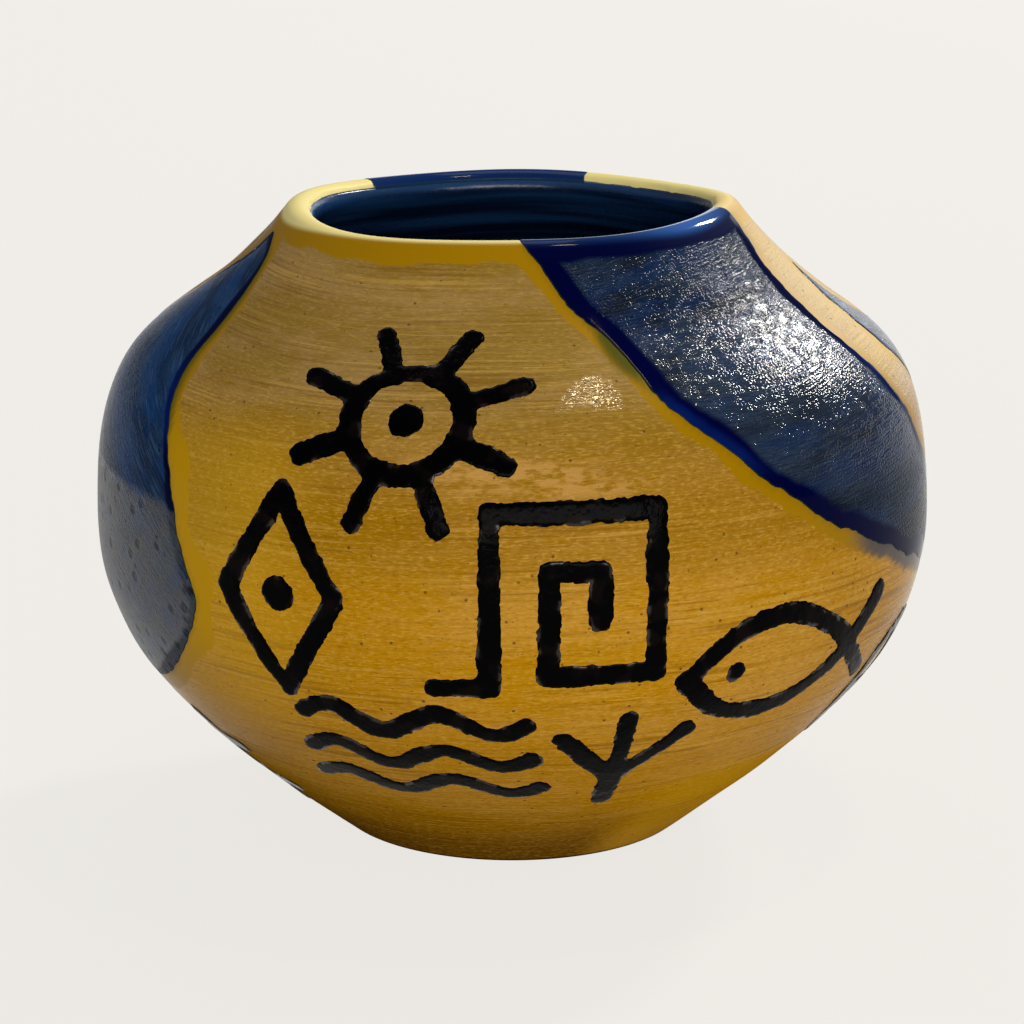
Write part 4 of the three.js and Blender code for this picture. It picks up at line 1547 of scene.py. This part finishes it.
@dataclass(frozen=True)
class Brush:
    """A round brush that draws the common strokes of the signs."""

    half_width: float = 1.85
    step: float = 0.5
    touch: float = 0.02

    def chain(self, corners: list[Point]) -> Stroke:
        """A stroke with straight runs between corners."""
        return Stroke(np.asarray(corners, dtype=float), self.half_width)

    def line(self, x1: float, y1: float, x2: float, y2: float) -> Stroke:
        """A straight stroke."""
        return self.chain([(x1, y1), (x2, y2)])

    def curve(self, points: list[Point]) -> Stroke:
        """A smooth stroke through points."""
        count = int(lengths_along(np.asarray(points, dtype=float))[-1] / self.step)
        return self.chain(spline(points, np.linspace(0.0, 1.0, count)))

    def ring(self, radius: float) -> Stroke:
        """A round stroke about the middle of the sign."""
        turn = np.linspace(0.0, 2.0 * np.pi, int(2.0 * np.pi * radius / self.step))
        return self.chain(radius * np.stack([np.cos(turn), np.sin(turn)], axis=-1))

    def dot(self, x: float, y: float, radius: float) -> Stroke:
        """A dabbed dot."""
        return Stroke(np.array([[x, y], [x + self.touch, y]]), radius)

    def rays(self, count: int, reach: Span, first: float, swept: float) -> list[Stroke]:
        """Straight strokes that share out a turn in degrees evenly, each over a span from the middle."""
        turns = np.radians(first + swept * np.arange(count) / count)
        return [self.chain(np.outer(reach, [np.cos(turn), np.sin(turn)])) for turn in turns]

    def wave(self, length: float, rise: float, half_waves: int, middle: float) -> Stroke:
        """A wavy stroke: a sine along its length.

        Args:
            length: Its length.
            rise: How far its crests stand off its middle.
            half_waves: How many half waves it has.
            middle: How high its middle lies in the sign.

        Returns:
            The stroke.
        """
        share = np.linspace(0.0, 1.0, int(length / self.step))
        up = middle + rise * np.sin(np.pi * half_waves * share)
        return self.chain(np.stack([length * (share - 0.5), up], axis=-1))


@dataclass
class Sign:
    """A painted sign: its place on the wall, and its separate pieces of paint by name."""

    name: str
    bearing: float
    distance: float
    pieces: dict[str, list[Stroke]]


@dataclass
class PaintedSigns:
    """The black signs all round the pot, each piece of paint a rounded film with a rough brushed edge."""

    skin: Skin
    height: float = 0.17
    round_off: float = 0.8
    pitch: float = 0.25
    merge: float = 0.7
    uneven: float = 0.3
    ragged: float = 0.2
    frayed: float = 0.14
    lumps: float = 0.03
    sunk: float = 0.06
    back: float = 0.14
    margin: float = 1.5
    least_steep: float = 0.3
    water_pitch: float = 8.5
    water_rise: float = 2.2
    half_waves: int = 4
    first_seed: int = 101

    def signs(self) -> list[Sign]:
        """The signs: sun, water, fish, hills, stars and simple frames.

        Returns:
            The signs.
        """
        brush = Brush()

        def waters(length: float, **places: float) -> dict[str, list[Stroke]]:
            """Wavy lines by name, at so many pitches above the middle."""
            return {
                name: [brush.wave(length, self.water_rise, self.half_waves, self.water_pitch * place)]
                for name, place in places.items()
            }

        def toes(side: float) -> dict[str, list[Stroke]]:
            """A bird's track, with its outer toes out to each side."""
            outer = [brush.line(0, -3, x, 8) for x in (-side, side)]
            return {"toes": [brush.line(0, -11, 0, 12), *outer]}

        fret = [(-20, -14), (-12, -14), (-12, 14), (14, 14), (14, -12), (-3, -12), (-3, 5), (5, 5), (5, -3)]
        hills = [(-20, -7), (-12, 7), (-4, -7), (4, 7), (12, -7), (20, 7)]
        teeth = [brush.line(x, 10, x, -10) for x in (-13.5, -4.5, 4.5, 13.5)]
        bars = [brush.line(-12, y, 12, y) for y in (-6, 6)] + [brush.line(x, -12, x, 12) for x in (-6, 6)]
        return [
            Sign("sun", -105, 101, {
                "ring": [brush.ring(9), *brush.rays(8, (9, 18), 22.5, 360)],
                "dot": [brush.dot(0, 0, 3)],
            }),
            Sign("diamond", -121, 72, {
                "frame": [brush.chain([(0, -16), (10, 0), (0, 16), (-10, 0), (0, -16)])],
                "dot": [brush.dot(0, 0, 2.8)],
            }),
            Sign("fret", -83, 73, {"line": [brush.chain(fret)]}),
            Sign("water", -104, 43, waters(36, top=1, middle=0, low=-1)),
            Sign("fish", -49, 58, {
                "body": [
                    brush.curve([(-21, 0.5), (-13, 7.4), (-2, 9), (9, 3.8), (20, -7)]),
                    brush.curve([(-21, 0.5), (-13, -6.4), (-2, -8), (9, -2.8), (20, 8)]),
                ],
                "eye": [brush.dot(-12.5, 0.8, 1.9)],
            }),
            Sign("bird_track", -74, 40, toes(10)),
            Sign("wheel", -17, 44, {
                "rim": [brush.ring(12), brush.line(-12, 0, 12, 0), brush.line(0, -12, 0, 12)],
            }),
            Sign("hills", 16, 41, {"line": [brush.chain(hills)], "dot": [brush.dot(-4, 8, 2.2)]}),
            Sign("star", 64, 92, {"arms": brush.rays(3, (-15, 15), 30, 180)}),
            Sign("comb", 55, 43, {"teeth": [brush.line(-15, 10, 15, 10), *teeth]}),
            Sign("hourglass", 87, 68, {
                "frame": [brush.chain([(-9, 14), (9, 14), (-9, -14), (9, -14), (-9, 14)])],
            }),
            Sign("back_water", 104, 36, waters(34, top=0.5, low=-0.5)),
            Sign("back_fish", 154, 44, {
                "body": [
                    brush.curve([(-20, 0), (-12, 6.8), (-2, 8.4), (9, 3.2), (19, -7)]),
                    brush.curve([(-20, 0), (-12, -6.8), (-2, -8.4), (9, -3.2), (19, 7)]),
                ],
            }),
            Sign("back_track", 156, 92, toes(9)),
            Sign("lattice", -158, 27, {"bars": bars}),
        ]

    def build(self, finish: Finish) -> list[Piece]:
        """Makes every piece of paint, each with a seed of its own."""
        films = [(sign, piece, strokes) for sign in self.signs() for piece, strokes in sign.pieces.items()]
        return [self._film(*film, self.first_seed + count, finish) for count, film in enumerate(films)]

    def _inset(self, strokes: list[Stroke], across: np.ndarray, up: np.ndarray, seed: int) -> np.ndarray:
        """The inset of the joined strokes, rounded where they meet and made uneven by the brush.

        Two strokes join by the greater inset plus a smooth extra where both are nearly as great.

        Args:
            strokes: The strokes of the piece.
            across: First coordinates of the places.
            up: Second coordinates of the places.
            seed: The seed of the unevenness.

        Returns:
            The insets in millimetres.
        """
        whole = strokes[0].inset(across, up)
        for stroke in strokes[1:]:
            other = stroke.inset(across, up)
            near = np.maximum(self.merge - np.abs(whole - other), 0.0) / self.merge
            whole = np.maximum(whole, other) + near * near * self.merge / 4.0
        noise = SoftNoise(seed)
        return (
            whole
            + self.uneven * noise.at(across, up, 6.0)
            + self.ragged * noise.at(across + 50.0, up, 1.1)
            + self.frayed * noise.at(across, up + 50.0, 0.55)
        )

    def _film(self, sign: Sign, piece: str, strokes: list[Stroke], seed: int, finish: Finish) -> Piece:
        """Makes one piece of paint on a flat grid, with its border drawn to where the inset is nothing.

        Args:
            sign: The sign it belongs to.
            piece: Its own name.
            strokes: Its strokes.
            seed: The seed of its unevenness.
            finish: Its finish.

        Returns:
            The piece.
        """
        reach = max(stroke.half_width for stroke in strokes) + self.margin
        line = np.vstack([stroke.points for stroke in strokes])
        low, high = line.min(axis=0) - reach, line.max(axis=0) + reach
        across, up = np.meshgrid(*(np.arange(low[k], high[k], self.pitch) for k in (0, 1)))
        inset = self._inset(strokes, across, up, seed)
        kept = without_pinches(np.any(cell_corners(inset > 0.0), axis=0))
        slope_up, slope_across = np.gradient(inset, self.pitch)
        steep = np.maximum(slope_up**2 + slope_across**2, self.least_steep)
        pull = np.clip(np.where(inset < 0.0, -inset / steep, 0.0), 0.0, self.pitch)
        across, up = across + pull * slope_across, up + pull * slope_up
        inset = np.maximum(inset, 0.0)
        distance = sign.distance + up
        bearing = sign.bearing + np.degrees(across / self.skin.radius(distance))
        face = (self.height + self.sunk) * quarter_round(inset, self.round_off) - self.sunk
        lumpy = SoftNoise(seed).at(across, up, 1.6) * np.clip(inset / self.round_off, 0.0, 1.0)
        points, under = (
            self.skin.place(bearing, distance, height) for height in (face + self.lumps * lumpy, -self.back)
        )
        name = f"{sign.name}_{piece}"
        values = {"wall": points * MM, "inset": inset}
        return closed_patch(points, under, kept, values).publish(f"paint_{name}", finish, [name])


def without_pinches(kept: np.ndarray, rounds: int = 3) -> np.ndarray:
    """The kept cells, with one added wherever two of them touch by a corner alone.

    Args:
        kept: Which cells are kept.
        rounds: How often the cells are looked through.

    Returns:
        The same with the added cells.
    """
    kept = kept.copy()
    for _ in range(rounds):
        low_left, low_right, high_right, high_left = cell_corners(kept)
        rising = low_left & high_right & ~low_right & ~high_left
        falling = low_right & high_left & ~low_left & ~high_right
        kept[:-1, 1:] |= rising
        kept[:-1, :-1] |= falling
    return kept


@dataclass(frozen=True)
class Lamp:
    """A soft lamp: where it stands as seen from the pot, its sides in metres, and its level.

    The level is how brightly it lights a white surface that faces it.
    """

    name: str
    bearing: float
    elevation: float
    width: float
    height: float
    level: float
    colour: Colour = (255, 250, 242)
    distance: float = 3.0


LAMPS = (
    Lamp("window_lamp", 49.0, 35.0, 0.36, 0.44, 0.66, (255, 252, 246)),
    Lamp("back_lamp", 100.0, 62.0, 1.4, 1.4, 0.14),
    Lamp("skylight", 12.0, 77.0, 0.3, 0.3, 0.15, (255, 228, 176)),
    Lamp("rim_lamp", 72.0, 8.0, 2.2, 0.9, 0.08, (236, 244, 255)),
    Lamp("front_lamp", -80.0, 9.0, 3.2, 0.9, 0.66),
)


@dataclass
class Studio:
    """A plain pale floor, soft lamps and the camera at the photograph's angle."""

    target_height: float = 52.6
    camera_bearing: float = -90.0
    camera_elevation: float = 14.9
    camera_distance: float = 0.6
    lens: float = 123.8
    sensor: float = 36.0
    floor_size: float = 40.0
    floor_colour: Colour = (166, 164, 160)
    shown_colour: Colour = (255, 252, 247)
    shown_share: float = 0.8
    shown_strength: float = 1.0
    sky_colour: Colour = (206, 220, 248)
    sky_strength: float = 0.28

    def build_floor(self) -> None:
        """Makes the floor: diffuse under the lamps, and mostly its own pale colour to camera and gloss."""
        half = self.floor_size / 2.0
        mesh = bpy.data.meshes.new("studio_floor")
        corners = [(-half, -half, 0), (half, -half, 0), (half, half, 0), (-half, half, 0)]
        mesh.from_pydata(corners, [], [(0, 1, 2, 3)])
        made = bpy.data.materials.new("studio_floor_paint")
        made.use_nodes = True
        made.node_tree.nodes.clear()
        bench = Bench(made.node_tree)
        path = bench.node("ShaderNodeLightPath", {}).outputs
        camera, glossy, through = (
            Signal(bench, path[title]) for title in ("Is Camera Ray", "Is Glossy Ray", "Is Transmission Ray")
        )
        diffuse = bench.node("ShaderNodeBsdfDiffuse", {"Color": linear(self.floor_colour)})
        shown = {"Color": linear(self.shown_colour), "Strength": self.shown_strength}
        glow = bench.node("ShaderNodeEmission", shown)
        share = (camera | glossy | through) * self.shown_share
        mix = bench.node("ShaderNodeMixShader", {0: share, 1: diffuse.outputs[0], 2: glow.outputs[0]})
        bench.node("ShaderNodeOutputMaterial", {"Surface": mix.outputs[0]})
        mesh.materials.append(made)
        floor = new_object("studio_floor", mesh)

    def build_sky(self) -> None:
        """Sets the world to an even pale light."""
        world = bpy.data.worlds.new("studio_sky")
        world.use_nodes = True
        ground = world.node_tree.nodes["Background"]
        ground.inputs["Color"].default_value = linear(self.sky_colour)
        ground.inputs["Strength"].default_value = self.sky_strength
        bpy.context.scene.world = world

    def aim(self, holder: bpy.types.Object, bearing: float, elevation: float, distance: float) -> None:
        """Stands a lamp or camera as seen from the pot, facing the middle of the pot.

        Args:
            holder: The lamp or camera.
            bearing: Its bearing in degrees.
            elevation: How many degrees up it stands.
            distance: How far away it stands, in metres.
        """
        turn, lift = np.radians([bearing, elevation])
        flat = np.cos(lift)
        way = Vector((float(flat * np.cos(turn)), float(flat * np.sin(turn)), float(np.sin(lift))))
        holder.location = Vector((0.0, 0.0, self.target_height * MM)) + way * distance
        holder.rotation_mode = "QUATERNION"
        holder.rotation_quaternion = (-way).to_track_quat("-Z", "Y")

    def build_lamp(self, lamp: Lamp) -> None:
        """Makes a soft lamp that faces the pot.

        A lamp of a power P at a distance d lights a white surface that faces it to P / (pi d) squared,
        which the level states.

        Args:
            lamp: What it is like and where it stands.
        """
        light = bpy.data.lights.new(lamp.name, "AREA")
        light.shape = "RECTANGLE"
        light.size, light.size_y = lamp.width, lamp.height
        light.energy = lamp.level * (np.pi * lamp.distance) ** 2
        light.color = linear(lamp.colour)[:3]
        self.aim(new_object(lamp.name, light), lamp.bearing, lamp.elevation, lamp.distance)

    def build_camera(self) -> None:
        """Places the camera in front, looking down a little at the middle of the pot."""
        camera = bpy.data.cameras.new("photo_camera")
        camera.sensor_width = self.sensor
        camera.lens = self.lens
        camera.clip_start = 0.01
        holder = new_object("photo_camera", camera)
        self.aim(holder, self.camera_bearing, self.camera_elevation, self.camera_distance)
        bpy.context.scene.camera = holder

    def build(self) -> None:
        """Makes the floor, the sky, the lamps and the camera."""
        self.build_floor()
        self.build_sky()
        for lamp in LAMPS:
            self.build_lamp(lamp)
        self.build_camera()
        bpy.context.scene.view_settings.view_transform = "Standard"


def main() -> None:
    """Builds the studio and every piece of the vase, in the order in which a potter adds them."""
    logging.basicConfig(level=logging.INFO, format="%(name)s: %(message)s")
    Studio().build()
    skin = Skin()
    pot = PotAndLining(skin)
    blue = BlueTongues(skin)
    pot.build_clay(FiredClay())
    pot.build_lining(LiningGlaze())
    YellowGround(skin, blue).build(YellowGlaze())
    finishes = {tongue.name: BlueGlaze() for tongue in blue.tongues}
    # The left tongue's copy of the blue glaze is paler and bluer: painted light, for the sky light on that
    # side.
    finishes["blue_tongue_left"] = BlueGlaze(
        "pale_blue_glaze_finish", bead_specular=0.01, brushed=0.55,
        cobalt=(4, 58, 112), slate=(8, 40, 76), ash=(64, 96, 128),
    )
    blue.build(finishes)
    PaintedSigns(skin).build(BlackPaint())


if __name__ == "__main__":
    main()
